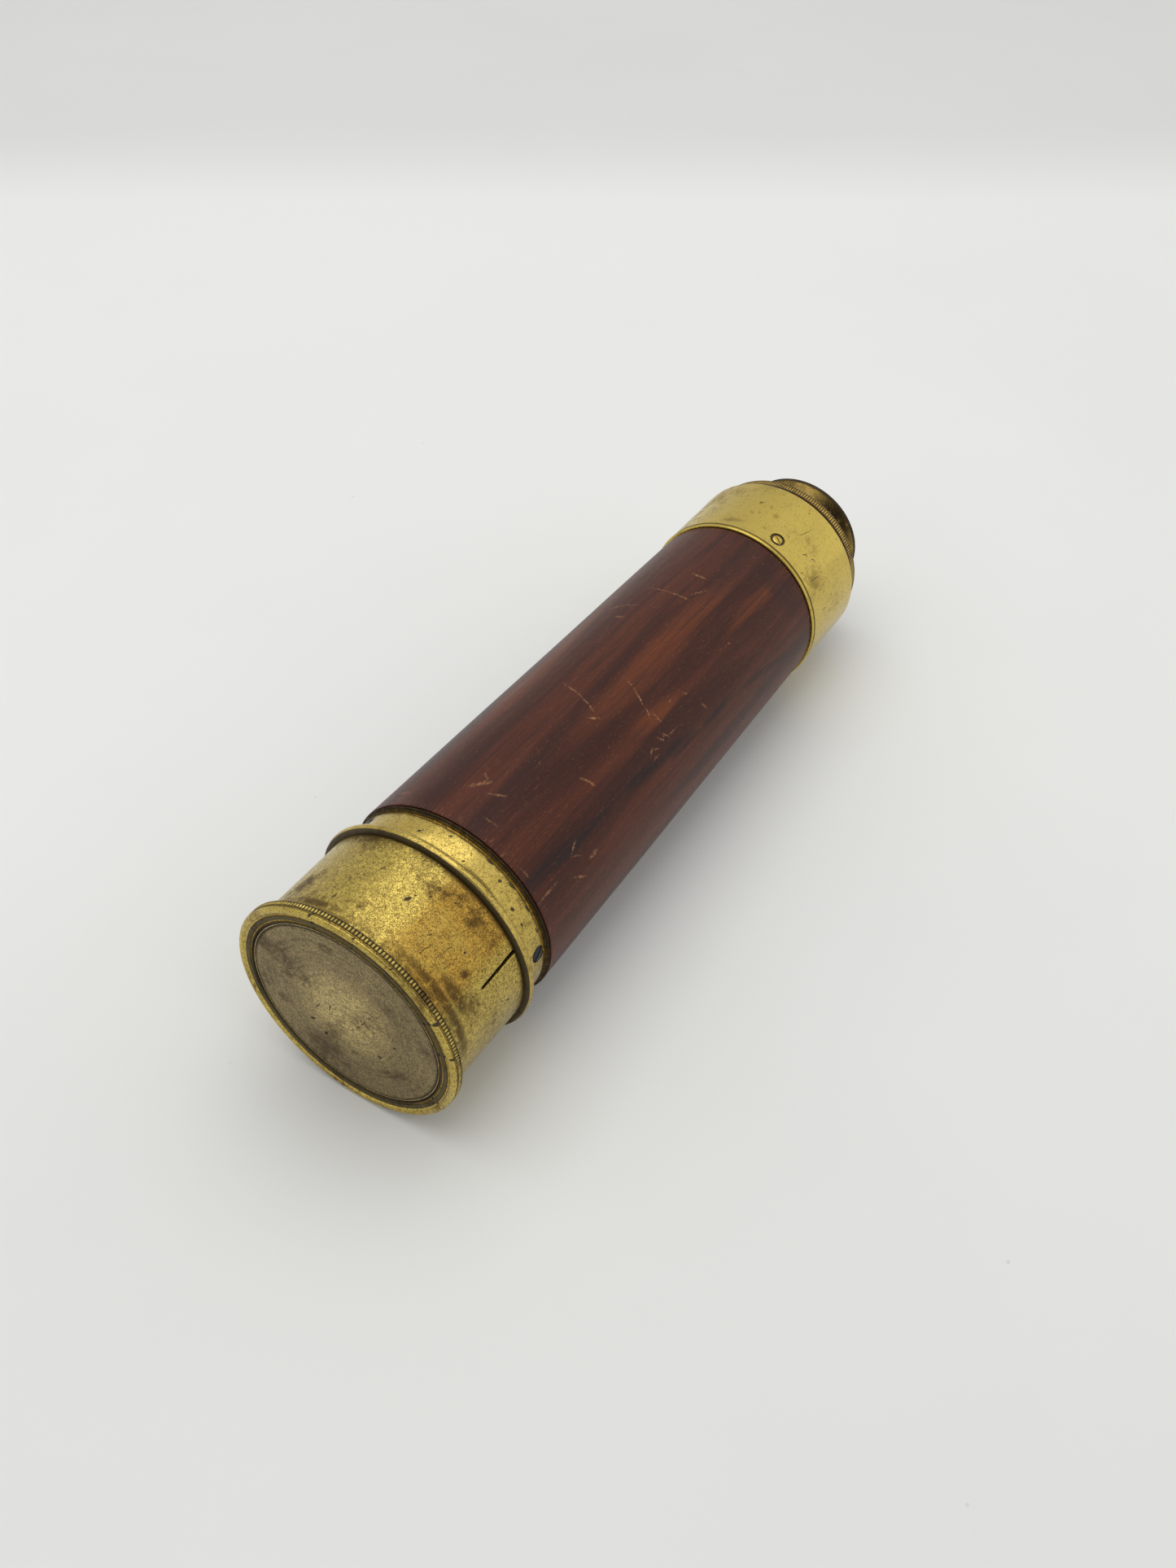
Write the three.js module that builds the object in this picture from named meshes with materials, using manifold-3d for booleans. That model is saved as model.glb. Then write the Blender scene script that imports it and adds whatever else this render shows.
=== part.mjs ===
// A three-draw hand telescope, closed, lying on its side with its dust cap on.
//
// Millimetres, +Z up. The optical axis is parallel to +X: the dust cap and the objective are at -X and the
// eye cup is at +X. The origin is under the middle of the closed length, on the surface the cap rim rests on.
//
// Turned pieces are outlines of [station, radius] points revolved about the optical axis. A station is the
// distance behind the front of the dust cap. Every revolved piece has the same number of flats in the same
// phase, with its flats on the stated radius, so that nested pieces keep the same clearance all the way round.

import * as THREE from "three";
import { mergeVertices } from "three/addons/utils/BufferGeometryUtils.js";
import Module from "manifold-3d";

const wasm = await Module();
wasm.setup();

// ---- Driving dimensions ----

const LENGTH = 186.4; // closed, from the front of the cap to the end of the eye cup
const RIM_RADIUS = 26;
const FLATS = 24;
const SLIDE_GAP = 0.15; // radial clearance of a sliding fit
const SEAT_GAP = 0.1; // clearance between two pieces that are fixed together

const CAP = {
  sleeveRadius: 24.2,
  sleeveBore: 23.4,
  sleeveFront: 1.7,
  sleeveEnd: 24.6,
  plateRadius: 22.4,
  plateFront: 0.35,
  plateBack: 1.2,
  plateLedge: 0.8,
  rimBack: 2.4,
  rimRound: 0.8,
  slitStart: 14,
  slitWidth: 0.7,
  slitAngle: 158,
};

const CELL = {
  front: 6.5,
  radius: 23.2,
  lensBore: 21.6,
  lensSeat: 17.8,
  sightBore: 20,
  beadFront: 24.7,
  beadRadius: 25.66,
  beadWidth: 2,
  spigotRadius: 20.5,
  spigotBore: 19.2,
  spigotEnd: 29.2,
};

const LENS = { crownVertex: 9, rimRadius: 21.4, curve: 110, crownThickness: 6, flintBack: 17.6, airGap: 0.4 };

const COLLAR = {
  front: 26.9,
  edgeRound: 0.9,
  bandRadius: 23.3,
  bandEnd: 32.8,
  grooveRadius: 22.8,
  ridgeFront: 33.4,
  ridgeRadius: 23.5,
  ridgeEnd: 33.7,
  lipFront: 33.9,
  lipRadius: 23.85,
  end: 34.2,
  tenonBore: 22.1,
  threadEnd: 29.3,
};

const BARREL = {
  front: 34.4,
  end: 149.6,
  frontRadius: 24.1,
  endRadius: 21.75,
  bore: 18.6,
  frontTenon: 29.5,
  frontTenonRadius: 22,
  endTenon: 168.9,
  endTenonRadius: 20.9,
};

const BARREL_STOP = { front: 34.8, hole: 14.5 };

const FERRULE = {
  front: 149.8,
  end: 171.5,
  radius: 22.2,
  bore: 21,
  lineFront: 150.5,
  lineEnd: 150.9,
  lineDepth: 0.2,
  edgeRound: 0.7,
  endWall: 169.1,
  threadBore: 19.2,
};

// The angles of the screws go round the axis from +Y through the top.
const COLLAR_SCREW = { station: 31.1, angles: [175, 42, 290], headRadius: 1.75, shankRadius: 0.9, length: 3.4 };
const FERRULE_SCREW = { station: 154.1, angles: [111, 231, 351], headRadius: 1.8, shankRadius: 0.7,
  length: 2.8 };
const SCREW = { slotWidth: 0.45, slotDepth: 0.5, headEdge: 0.3, clearance: 0.12, flats: 12 };

const TUBE_WALL = 0.6;
const STOP_RING_LENGTH = 5;
// Each draw: the tube's outer radius, its front end, and the guide collar it slides in. A collar has a sleeve
// inside the tube or barrel that carries it, a plain neck, and a milled flange.
const DRAWS = [
  {
    radius: 17.6,
    front: 46,
    collar: { sleeveStart: 157, sleeveRadius: 18.45, shoulder: 171.7, neckRadius: 19.9, flangeFront: 173.3,
      flangeRadius: 20.8, end: 175.7 },
  },
  {
    radius: 15.6,
    front: 53,
    collar: { sleeveStart: 160, sleeveRadius: 16.9, shoulder: 176.05, neckRadius: 17.6, flangeFront: 176.25,
      flangeRadius: 18.2, end: 177.8 },
  },
  {
    radius: 13.6,
    front: 60,
    collar: { sleeveStart: 164.5, sleeveRadius: 14.9, shoulder: 178.05, neckRadius: 16, flangeFront: 178.25,
      flangeRadius: 16.6, end: 180 },
  },
];
const FLANGE_CHAMFER = 0.4;

const EYE_CUP = {
  front: 180.4,
  shoulderRadius: 14.7,
  shoulderEnd: 181.2,
  neckRadius: 14,
  neckEnd: 182,
  flare: 1.8,
  rimFront: 185.2,
  end: LENGTH,
  spigotStart: 177.4,
  spigotRadius: 12.9,
  spigotWall: 0.9,
  plateFront: 183.2,
  plateBack: 184.3,
  bowlRadius: 12.9,
  eyeHole: 3,
};

const INNER_TUBE = { radius: 12.9, bore: 12.1 };
const ERECTOR = { start: 61, end: 101, stop: 80, stopHole: 4, lensInset: 6 };
const EYEPIECE = { start: 137, end: 177.2, stop: 158, stopHole: 8.5, lensInset: 6, eyeLensInset: 3 };
const SMALL_LENS = { curve: 36, edge: 1.4, ringBore: 10.4, ringLength: 1.2, ringGap: 0.2 };
const STOP_THICKNESS = 1;

const SHUTTER = {
  front: 184.45,
  thickness: 0.7,
  coverRadius: 4.4,
  pivotDrop: 7.4,
  pivotRadius: 2.6,
};
const SHUTTER_SCREW = { headRadius: 1.5, shankRadius: 0.8, headHeight: 0.7, start: 183.4 };
const KNOB = { radius: 0.9, neckRadius: 0.63, neckHeight: 0.4, height: 0.9, rise: 2.8 };

const MATERIALS = {
  agedBrass: { color: 0xa08540, roughness: 0.38, metalness: 1 },
  tarnishedBrass: { color: 0x80705a, roughness: 0.5, metalness: 1 },
  polishedBrass: { color: 0xc9ab52, roughness: 0.22, metalness: 1 },
  blackedBrass: { color: 0x1d1b19, roughness: 0.7, metalness: 0.6 },
  darkSteel: { color: 0x3b3c40, roughness: 0.45, metalness: 1 },
  rosewood: { color: 0x4a2318, roughness: 0.25, metalness: 0 },
  lensGlass: { color: 0xdfe8e4, roughness: 0.05, metalness: 0 },
};

// ---- Making shapes ----

const FLAT_TO_CORNER = 1 / Math.cos(Math.PI / FLATS);

// Points on a round stretch of an outline, from one angle to another in degrees. Angle 0 points backwards
// along the axis and angle 90 points away from it.
function arc(station, radius, size, from, to, steps) {
  return Array.from({ length: steps + 1 }, (_, i) => {
    const angle = THREE.MathUtils.degToRad(from + ((to - from) * i) / steps);
    return [station + size * Math.cos(angle), radius + size * Math.sin(angle)];
  });
}

function signedArea(outline) {
  return outline.reduce((sum, [x, y], i) => {
    const [nextX, nextY] = outline[(i + 1) % outline.length];
    return sum + (x * nextY - nextX * y) / 2;
  }, 0);
}

// An outline revolved about the optical axis. It may touch the axis with its first and last points.
function revolve(outline, flats = FLATS, toCorner = FLAT_TO_CORNER) {
  const points = (signedArea(outline) > 0 ? [...outline].reverse() : outline).map(
    ([station, radius]) => new THREE.Vector2(radius * toCorner, station),
  );
  const onAxis = points[0].x === 0 && points.at(-1).x === 0;
  const closed = onAxis ? points : [...points, points[0].clone()];
  return new THREE.LatheGeometry(closed, flats, Math.PI / flats).rotateZ(-Math.PI / 2);
}

function tube(start, end, bore, radius) {
  return revolve([
    [start, bore],
    [start, radius],
    [end, radius],
    [end, bore],
  ]);
}

function toSolid(geometry) {
  const bare = geometry.clone();
  bare.deleteAttribute("normal");
  bare.deleteAttribute("uv");
  const merged = mergeVertices(bare, 1e-4);
  return new wasm.Manifold(
    new wasm.Mesh({
      numProp: 3,
      vertProperties: merged.attributes.position.array,
      triVerts: new Uint32Array(merged.index.array),
    }),
  );
}

function toGeometry(solid) {
  const { vertProperties, triVerts } = solid.getMesh();
  return new THREE.BufferGeometry()
    .setAttribute("position", new THREE.BufferAttribute(vertProperties, 3))
    .setIndex(new THREE.BufferAttribute(triVerts, 1));
}

function cutAway(geometry, cutters) {
  const solid = cutters.reduce((rest, cutter) => rest.subtract(toSolid(cutter)), toSolid(geometry));
  return toGeometry(solid);
}

// Turns a shape about the optical axis. Angle 0 is towards +Y and angle 90 is up.
function aroundAxis(geometry, degrees) {
  return geometry.rotateX(THREE.MathUtils.degToRad(degrees));
}

// ---- The telescope ----

const telescope = new THREE.Group();
telescope.position.set(-LENGTH / 2, 0, RIM_RADIUS);

function piece(name, geometry, material) {
  const mesh = new THREE.Mesh(geometry, new THREE.MeshStandardMaterial(MATERIALS[material]));
  mesh.name = name;
  telescope.add(mesh);
}

// ---- Dust cap ----

function dustCap() {
  const ledge = CAP.plateRadius - CAP.plateLedge;
  const rim = revolve([
    [0.15, CAP.plateRadius + SEAT_GAP],
    [CAP.plateBack + SEAT_GAP, CAP.plateRadius + SEAT_GAP],
    [CAP.plateBack + SEAT_GAP, ledge],
    [CAP.sleeveFront - SEAT_GAP, ledge],
    [CAP.sleeveFront - SEAT_GAP, CAP.sleeveRadius + SEAT_GAP],
    [CAP.rimBack, CAP.sleeveRadius + SEAT_GAP],
    [CAP.rimBack, RIM_RADIUS],
    ...arc(CAP.rimRound, RIM_RADIUS - CAP.rimRound, CAP.rimRound, 90, 180, 4),
    [0, CAP.plateRadius + CAP.plateLedge],
  ]);
  piece("cap_rim", rim, "agedBrass");

  const plate = revolve([
    [CAP.plateFront, 0],
    [CAP.plateFront, CAP.plateRadius],
    [CAP.plateBack, CAP.plateRadius],
    [CAP.plateBack, 0],
  ]);
  piece("cap_plate", plate, "tarnishedBrass");

  const slitLength = CAP.sleeveEnd - CAP.slitStart + 1;
  const slit = new THREE.BoxGeometry(slitLength, 4, CAP.slitWidth);
  slit.translate(CAP.slitStart + slitLength / 2, CAP.sleeveRadius, 0);
  const sleeve = tube(CAP.sleeveFront, CAP.sleeveEnd, CAP.sleeveBore, CAP.sleeveRadius);
  piece("cap_sleeve", cutAway(sleeve, [aroundAxis(slit, CAP.slitAngle)]), "agedBrass");
}

// ---- Objective ----

// How far a lens surface falls away from its vertex at a radius, for a radius of curvature.
const fall = (radius, curve) => curve - Math.sqrt(curve * curve - radius * radius);

// One face of a lens, from the axis out to its rim. A positive curve makes the rim lie behind the vertex.
function lensFace(vertex, curve, rimRadius, steps = 3) {
  return Array.from({ length: steps + 1 }, (_, i) => {
    const radius = (rimRadius * i) / steps;
    return [vertex + Math.sign(curve) * fall(radius, Math.abs(curve)), radius];
  });
}

function objective() {
  const bead = arc(CELL.beadFront + CELL.beadWidth / 2, CELL.beadRadius - CELL.beadWidth / 2,
    CELL.beadWidth / 2, 180, 0, 6);
  const cell = revolve([
    [CELL.front, CELL.lensBore],
    [CELL.front, CELL.radius],
    [CELL.beadFront, CELL.radius],
    ...bead,
    [CELL.beadFront + CELL.beadWidth, CELL.spigotRadius],
    [CELL.spigotEnd, CELL.spigotRadius],
    [CELL.spigotEnd, CELL.spigotBore],
    [CELL.lensSeat, CELL.spigotBore],
    [CELL.lensSeat, CELL.lensBore],
  ]);
  piece("objective_cell", cell, "polishedBrass");

  const crownBack = LENS.crownVertex + LENS.crownThickness;
  const crown = revolve([
    ...lensFace(LENS.crownVertex, LENS.curve, LENS.rimRadius),
    ...lensFace(crownBack, -LENS.curve, LENS.rimRadius).reverse(),
  ]);
  piece("objective_crown_lens", crown, "lensGlass");

  const flint = revolve([
    ...lensFace(crownBack + LENS.airGap, -LENS.curve, LENS.rimRadius),
    [LENS.flintBack, LENS.rimRadius],
    [LENS.flintBack, 0],
  ]);
  piece("objective_flint_lens", flint, "lensGlass");

  const ringEnd = LENS.crownVertex + fall(CELL.sightBore, LENS.curve) - SEAT_GAP;
  const ring = tube(CELL.front + 0.6, ringEnd, CELL.sightBore, CELL.lensBore - SEAT_GAP);
  piece("objective_retaining_ring", ring, "blackedBrass");
}

// ---- Screws ----

// A countersunk screw along +Y, with its flat head's top at a distance from the axis. grow widens it all round,
// which makes the cutter for its hole.
function screwShape(screw, top, grow = 0) {
  const headDepth = screw.headRadius - screw.shankRadius;
  const above = grow ? 2 : 0;
  const outline = [
    [top - screw.length - grow, 0],
    [top - screw.length - grow, screw.shankRadius + grow],
    [top - headDepth - SCREW.headEdge, screw.shankRadius + grow],
    [top - SCREW.headEdge, screw.headRadius + grow],
    [top + above, screw.headRadius + grow],
    [top + above, 0],
  ];
  return revolve(outline, SCREW.flats, 1).rotateZ(Math.PI / 2).translate(screw.station, 0, 0);
}

function screwHoles(screw, top) {
  return screw.angles.map((angle) => aroundAxis(screwShape(screw, top, SCREW.clearance), angle));
}

function screws(name, screw, top, material) {
  screw.angles.forEach((angle, i) => {
    const slot = new THREE.BoxGeometry(SCREW.slotWidth, 2 * SCREW.slotDepth, 3 * screw.headRadius);
    slot.translate(screw.station, top, 0);
    const slotted = cutAway(screwShape(screw, top), [slot]);
    piece(`${name}_${i + 1}`, aroundAxis(slotted, angle), material);
  });
}

// ---- Barrel ----

function barrel() {
  const collar = revolve([
    [COLLAR.front, CELL.spigotRadius + SEAT_GAP],
    ...arc(COLLAR.front + COLLAR.edgeRound, COLLAR.bandRadius - COLLAR.edgeRound, COLLAR.edgeRound,
      180, 90, 3),
    [COLLAR.bandEnd, COLLAR.bandRadius],
    [COLLAR.bandEnd, COLLAR.grooveRadius],
    [COLLAR.ridgeFront, COLLAR.grooveRadius],
    [COLLAR.ridgeFront, COLLAR.ridgeRadius],
    [COLLAR.ridgeEnd, COLLAR.ridgeRadius],
    [COLLAR.ridgeEnd, COLLAR.grooveRadius],
    [COLLAR.lipFront, COLLAR.grooveRadius],
    [COLLAR.lipFront, COLLAR.lipRadius],
    [COLLAR.end, COLLAR.lipRadius],
    [COLLAR.end, COLLAR.tenonBore],
    [COLLAR.threadEnd, COLLAR.tenonBore],
    [COLLAR.threadEnd, CELL.spigotRadius + SEAT_GAP],
  ]);
  const collarHoles = screwHoles(COLLAR_SCREW, COLLAR.bandRadius);
  piece("objective_collar", cutAway(collar, collarHoles), "polishedBrass");
  screws("collar_screw", COLLAR_SCREW, COLLAR.bandRadius, "darkSteel");

  const wood = revolve([
    [BARREL.frontTenon, BARREL.bore],
    [BARREL.frontTenon, BARREL.frontTenonRadius],
    [BARREL.front, BARREL.frontTenonRadius],
    [BARREL.front, BARREL.frontRadius],
    [BARREL.end, BARREL.endRadius],
    [BARREL.end, BARREL.endTenonRadius],
    [BARREL.endTenon, BARREL.endTenonRadius],
    [BARREL.endTenon, BARREL.bore],
  ]);
  const ferruleHoles = screwHoles(FERRULE_SCREW, FERRULE.radius);
  piece("wooden_barrel", cutAway(wood, [...collarHoles, ...ferruleHoles]), "rosewood");

  const stopEnd = BARREL_STOP.front + STOP_THICKNESS;
  const stop = tube(BARREL_STOP.front, stopEnd, BARREL_STOP.hole, BARREL.bore - SEAT_GAP);
  piece("barrel_stop", stop, "blackedBrass");

  const ferrule = revolve([
    [FERRULE.front, FERRULE.bore],
    [FERRULE.front, FERRULE.radius],
    [FERRULE.lineFront, FERRULE.radius],
    [FERRULE.lineFront, FERRULE.radius - FERRULE.lineDepth],
    [FERRULE.lineEnd, FERRULE.radius - FERRULE.lineDepth],
    [FERRULE.lineEnd, FERRULE.radius],
    ...arc(FERRULE.end - FERRULE.edgeRound, FERRULE.radius - FERRULE.edgeRound, FERRULE.edgeRound,
      90, 0, 3),
    [FERRULE.end, FERRULE.threadBore],
    [FERRULE.endWall, FERRULE.threadBore],
    [FERRULE.endWall, FERRULE.bore],
  ]);
  piece("draw_ferrule", cutAway(ferrule, ferruleHoles), "polishedBrass");
  screws("ferrule_screw", FERRULE_SCREW, FERRULE.radius, "polishedBrass");
}

// ---- Draws ----

function guideCollar(draw) {
  const { sleeveStart, sleeveRadius, shoulder, neckRadius, flangeFront, flangeRadius, end } = draw.collar;
  const bore = draw.radius + SLIDE_GAP;
  return revolve([
    [sleeveStart, bore],
    [sleeveStart, sleeveRadius],
    [shoulder, sleeveRadius],
    [shoulder, neckRadius],
    [flangeFront, neckRadius],
    [flangeFront, flangeRadius],
    [end - FLANGE_CHAMFER, flangeRadius],
    [end, flangeRadius - FLANGE_CHAMFER],
    [end, bore],
  ]);
}

function draws() {
  DRAWS.forEach((draw, i) => {
    const next = DRAWS[i + 1];
    const tubeEnd = (next ? next.collar.shoulder : EYE_CUP.front) - SEAT_GAP;
    const carrierBore = i ? DRAWS[i - 1].radius - TUBE_WALL : BARREL.bore;
    piece(`guide_collar_${i + 1}`, guideCollar(draw), "polishedBrass");
    piece(`draw_tube_${i + 1}`, tube(draw.front, tubeEnd, draw.radius - TUBE_WALL, draw.radius), "agedBrass");
    const stopRing = tube(draw.front, draw.front + STOP_RING_LENGTH, draw.radius + SEAT_GAP,
      carrierBore - SLIDE_GAP);
    piece(`draw_${i + 1}_stop_ring`, stopRing, "blackedBrass");
  });
}

// ---- Erector and eyepiece ----

// A lens that is flat on one side. The flat is at one station and the crown points forwards or backwards.
function planoLens(flat, facing, radius) {
  const { curve, edge } = SMALL_LENS;
  const dome = lensFace(flat + facing * (edge + fall(radius, curve)), -facing * curve, radius);
  return revolve([...dome, [flat, radius], [flat, 0]]);
}

function opticsTubes() {
  const seat = INNER_TUBE.bore - SEAT_GAP;
  const { ringBore, ringLength, ringGap } = SMALL_LENS;
  const shell = ({ start, end }) => tube(start, end, INNER_TUBE.bore, INNER_TUBE.radius);
  const ring = (start) => tube(start, start + ringLength, ringBore, seat);
  const fieldStop = ({ stop, stopHole }) => tube(stop, stop + STOP_THICKNESS, stopHole, seat);

  const frontLens = ERECTOR.start + ERECTOR.lensInset;
  const rearLens = ERECTOR.end - ERECTOR.lensInset;
  piece("erector_tube", shell(ERECTOR), "agedBrass");
  piece("erector_lens_front", planoLens(frontLens, -1, seat), "lensGlass");
  piece("erector_lens_rear", planoLens(rearLens, 1, seat), "lensGlass");
  piece("erector_ring_front", ring(frontLens + ringGap), "blackedBrass");
  piece("erector_ring_rear", ring(rearLens - ringGap - ringLength), "blackedBrass");
  piece("erector_stop", fieldStop(ERECTOR), "blackedBrass");

  const fieldLens = EYEPIECE.start + EYEPIECE.lensInset;
  const eyeLens = EYEPIECE.end - EYEPIECE.eyeLensInset;
  piece("eyepiece_tube", shell(EYEPIECE), "agedBrass");
  piece("field_lens", planoLens(fieldLens, -1, seat), "lensGlass");
  piece("field_lens_ring", ring(fieldLens + ringGap), "blackedBrass");
  piece("field_stop", fieldStop(EYEPIECE), "blackedBrass");
  piece("eye_lens", planoLens(eyeLens, -1, seat), "lensGlass");
  piece("eye_lens_ring", ring(eyeLens + ringGap), "blackedBrass");
}

// ---- Eye cup and shutter ----

// The shutter's outline across the axis: a round cover over the eye hole, joined by two tangents to a smaller
// round boss about its pivot.
function shutterOutline() {
  const { coverRadius, pivotRadius, pivotDrop } = SHUTTER;
  const spread = Math.acos((coverRadius - pivotRadius) / pivotDrop);
  const down = -Math.PI / 2;
  const shape = new THREE.Shape();
  shape.absarc(0, 0, coverRadius, down + spread, down - spread + 2 * Math.PI, false);
  shape.absarc(0, -pivotDrop, pivotRadius, down - spread + 2 * Math.PI, down + spread + 2 * Math.PI, false);
  shape.holes.push(new THREE.Path().absarc(0, -pivotDrop, SHUTTER_SCREW.shankRadius + SEAT_GAP, 0,
    2 * Math.PI, true));
  return shape;
}

// The cup's hollow flare, from its neck out to its milled rim.
function cupFlare(steps = 5) {
  return Array.from({ length: steps + 1 }, (_, i) => {
    const along = i / steps;
    const rise = 1 - Math.cos((along * Math.PI) / 2);
    return [
      EYE_CUP.neckEnd + (EYE_CUP.rimFront - EYE_CUP.neckEnd) * along,
      EYE_CUP.neckRadius + EYE_CUP.flare * rise,
    ];
  });
}

function eyeEnd() {
  const spigotBore = EYE_CUP.spigotRadius - EYE_CUP.spigotWall;
  const rimRadius = EYE_CUP.neckRadius + EYE_CUP.flare;
  const cup = revolve([
    [EYE_CUP.spigotStart, spigotBore],
    [EYE_CUP.spigotStart, EYE_CUP.spigotRadius],
    [EYE_CUP.front, EYE_CUP.spigotRadius],
    [EYE_CUP.front, EYE_CUP.shoulderRadius],
    [EYE_CUP.shoulderEnd, EYE_CUP.shoulderRadius],
    [EYE_CUP.shoulderEnd, EYE_CUP.neckRadius],
    ...cupFlare(),
    [EYE_CUP.end - FLANGE_CHAMFER, rimRadius],
    [EYE_CUP.end, rimRadius - FLANGE_CHAMFER],
    [EYE_CUP.end, EYE_CUP.bowlRadius],
    [EYE_CUP.plateBack, EYE_CUP.bowlRadius],
    [EYE_CUP.plateBack, EYE_CUP.eyeHole],
    [EYE_CUP.plateFront, EYE_CUP.eyeHole],
    [EYE_CUP.plateFront, spigotBore],
  ]);
  const screwHole = revolve([
    [EYE_CUP.plateFront - 1, 0],
    [EYE_CUP.plateFront - 1, SHUTTER_SCREW.shankRadius + SEAT_GAP],
    [EYE_CUP.plateBack + 1, SHUTTER_SCREW.shankRadius + SEAT_GAP],
    [EYE_CUP.plateBack + 1, 0],
  ], SCREW.flats, 1).translate(0, 0, -SHUTTER.pivotDrop);
  piece("eye_cup", cutAway(cup, [screwHole]), "agedBrass");

  const shutterBack = SHUTTER.front + SHUTTER.thickness;
  const plate = new THREE.ExtrudeGeometry(shutterOutline(), {
    depth: SHUTTER.thickness,
    bevelEnabled: false,
    curveSegments: 12,
  });
  plate.rotateX(Math.PI / 2).rotateZ(Math.PI / 2).translate(SHUTTER.front, 0, 0);
  piece("eye_shutter", plate, "agedBrass");

  const headFront = shutterBack + SEAT_GAP;
  const screw = revolve([
    [SHUTTER_SCREW.start, 0],
    [SHUTTER_SCREW.start, SHUTTER_SCREW.shankRadius],
    [headFront, SHUTTER_SCREW.shankRadius],
    [headFront, SHUTTER_SCREW.headRadius],
    [headFront + SHUTTER_SCREW.headHeight, SHUTTER_SCREW.headRadius],
    [headFront + SHUTTER_SCREW.headHeight, 0],
  ], SCREW.flats, 1);
  piece("shutter_screw", screw.translate(0, 0, -SHUTTER.pivotDrop), "darkSteel");

  const knobRound = (KNOB.height - KNOB.neckHeight) / 2;
  const knob = revolve([
    [headFront, 0],
    [headFront, KNOB.neckRadius],
    [headFront + KNOB.neckHeight, KNOB.neckRadius],
    ...arc(headFront + KNOB.neckHeight + knobRound, KNOB.radius - knobRound, knobRound, 180, 0, 4),
    [headFront + KNOB.height, 0],
  ], SCREW.flats, 1);
  piece("shutter_knob", knob.translate(0, 0, KNOB.rise), "polishedBrass");
}

dustCap();
objective();
barrel();
draws();
opticsTubes();
eyeEnd();

export default telescope;
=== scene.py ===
"""The looks of a three-draw brass and rosewood hand telescope, closed, lying on a pale floor with its
cap on.

Nearly every piece is turned: an outline of (station, radius) points in millimetres, revolved about the
optical axis. A station is the distance behind the front of the dust cap. An angle about the axis is 0
towards +Y and 90 upwards. Each outline's corners are rounded, and each vertex knows how deep in a
groove (soil_and_shade) and how far out on an edge (wear) it lies, which the metal's shader uses. The
shader paints the grooves dark with soiling and painted shade.
"""

import math
import random

import bmesh
import bpy
import numpy as np
from mathutils import Euler, Matrix, Vector


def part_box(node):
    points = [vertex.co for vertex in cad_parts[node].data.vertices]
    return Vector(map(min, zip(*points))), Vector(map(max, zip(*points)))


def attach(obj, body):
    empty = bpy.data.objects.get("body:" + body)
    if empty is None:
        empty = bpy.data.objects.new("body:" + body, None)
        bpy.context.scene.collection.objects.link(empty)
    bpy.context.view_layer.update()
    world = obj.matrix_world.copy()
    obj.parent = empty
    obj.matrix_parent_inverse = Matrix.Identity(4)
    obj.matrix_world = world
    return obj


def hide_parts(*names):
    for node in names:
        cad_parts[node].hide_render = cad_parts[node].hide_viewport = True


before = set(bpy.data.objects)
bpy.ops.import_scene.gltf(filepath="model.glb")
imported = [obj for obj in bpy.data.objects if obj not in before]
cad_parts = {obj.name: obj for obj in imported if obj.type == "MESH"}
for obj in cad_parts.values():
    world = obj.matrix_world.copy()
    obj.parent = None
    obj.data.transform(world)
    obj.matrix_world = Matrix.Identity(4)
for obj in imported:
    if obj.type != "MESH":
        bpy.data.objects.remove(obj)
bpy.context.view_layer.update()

MM = 0.001

# ---- Where the part is ----

rim_low, rim_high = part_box("cap_rim")
FRONT_X = rim_low.x
AXIS_Z = (rim_low.z + rim_high.z) / 2


def start(node):
    """The station of a CAD node's front end."""
    return (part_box(node)[0].x - FRONT_X) / MM


def end(node):
    """The station of a CAD node's back end."""
    return (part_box(node)[1].x - FRONT_X) / MM


def outer(node):
    """The outer radius of a CAD node that goes round the axis."""
    low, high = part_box(node)
    return (high.y - low.y) / 2 / MM


def place(station, radius, angle):
    """A point in the row frame, from millimetres and degrees about the axis."""
    turn = math.radians(angle)
    return Vector((
        FRONT_X + station * MM,
        radius * math.cos(turn) * MM,
        AXIS_Z + radius * math.sin(turn) * MM,
    ))


# ---- Shaders ----


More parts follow.
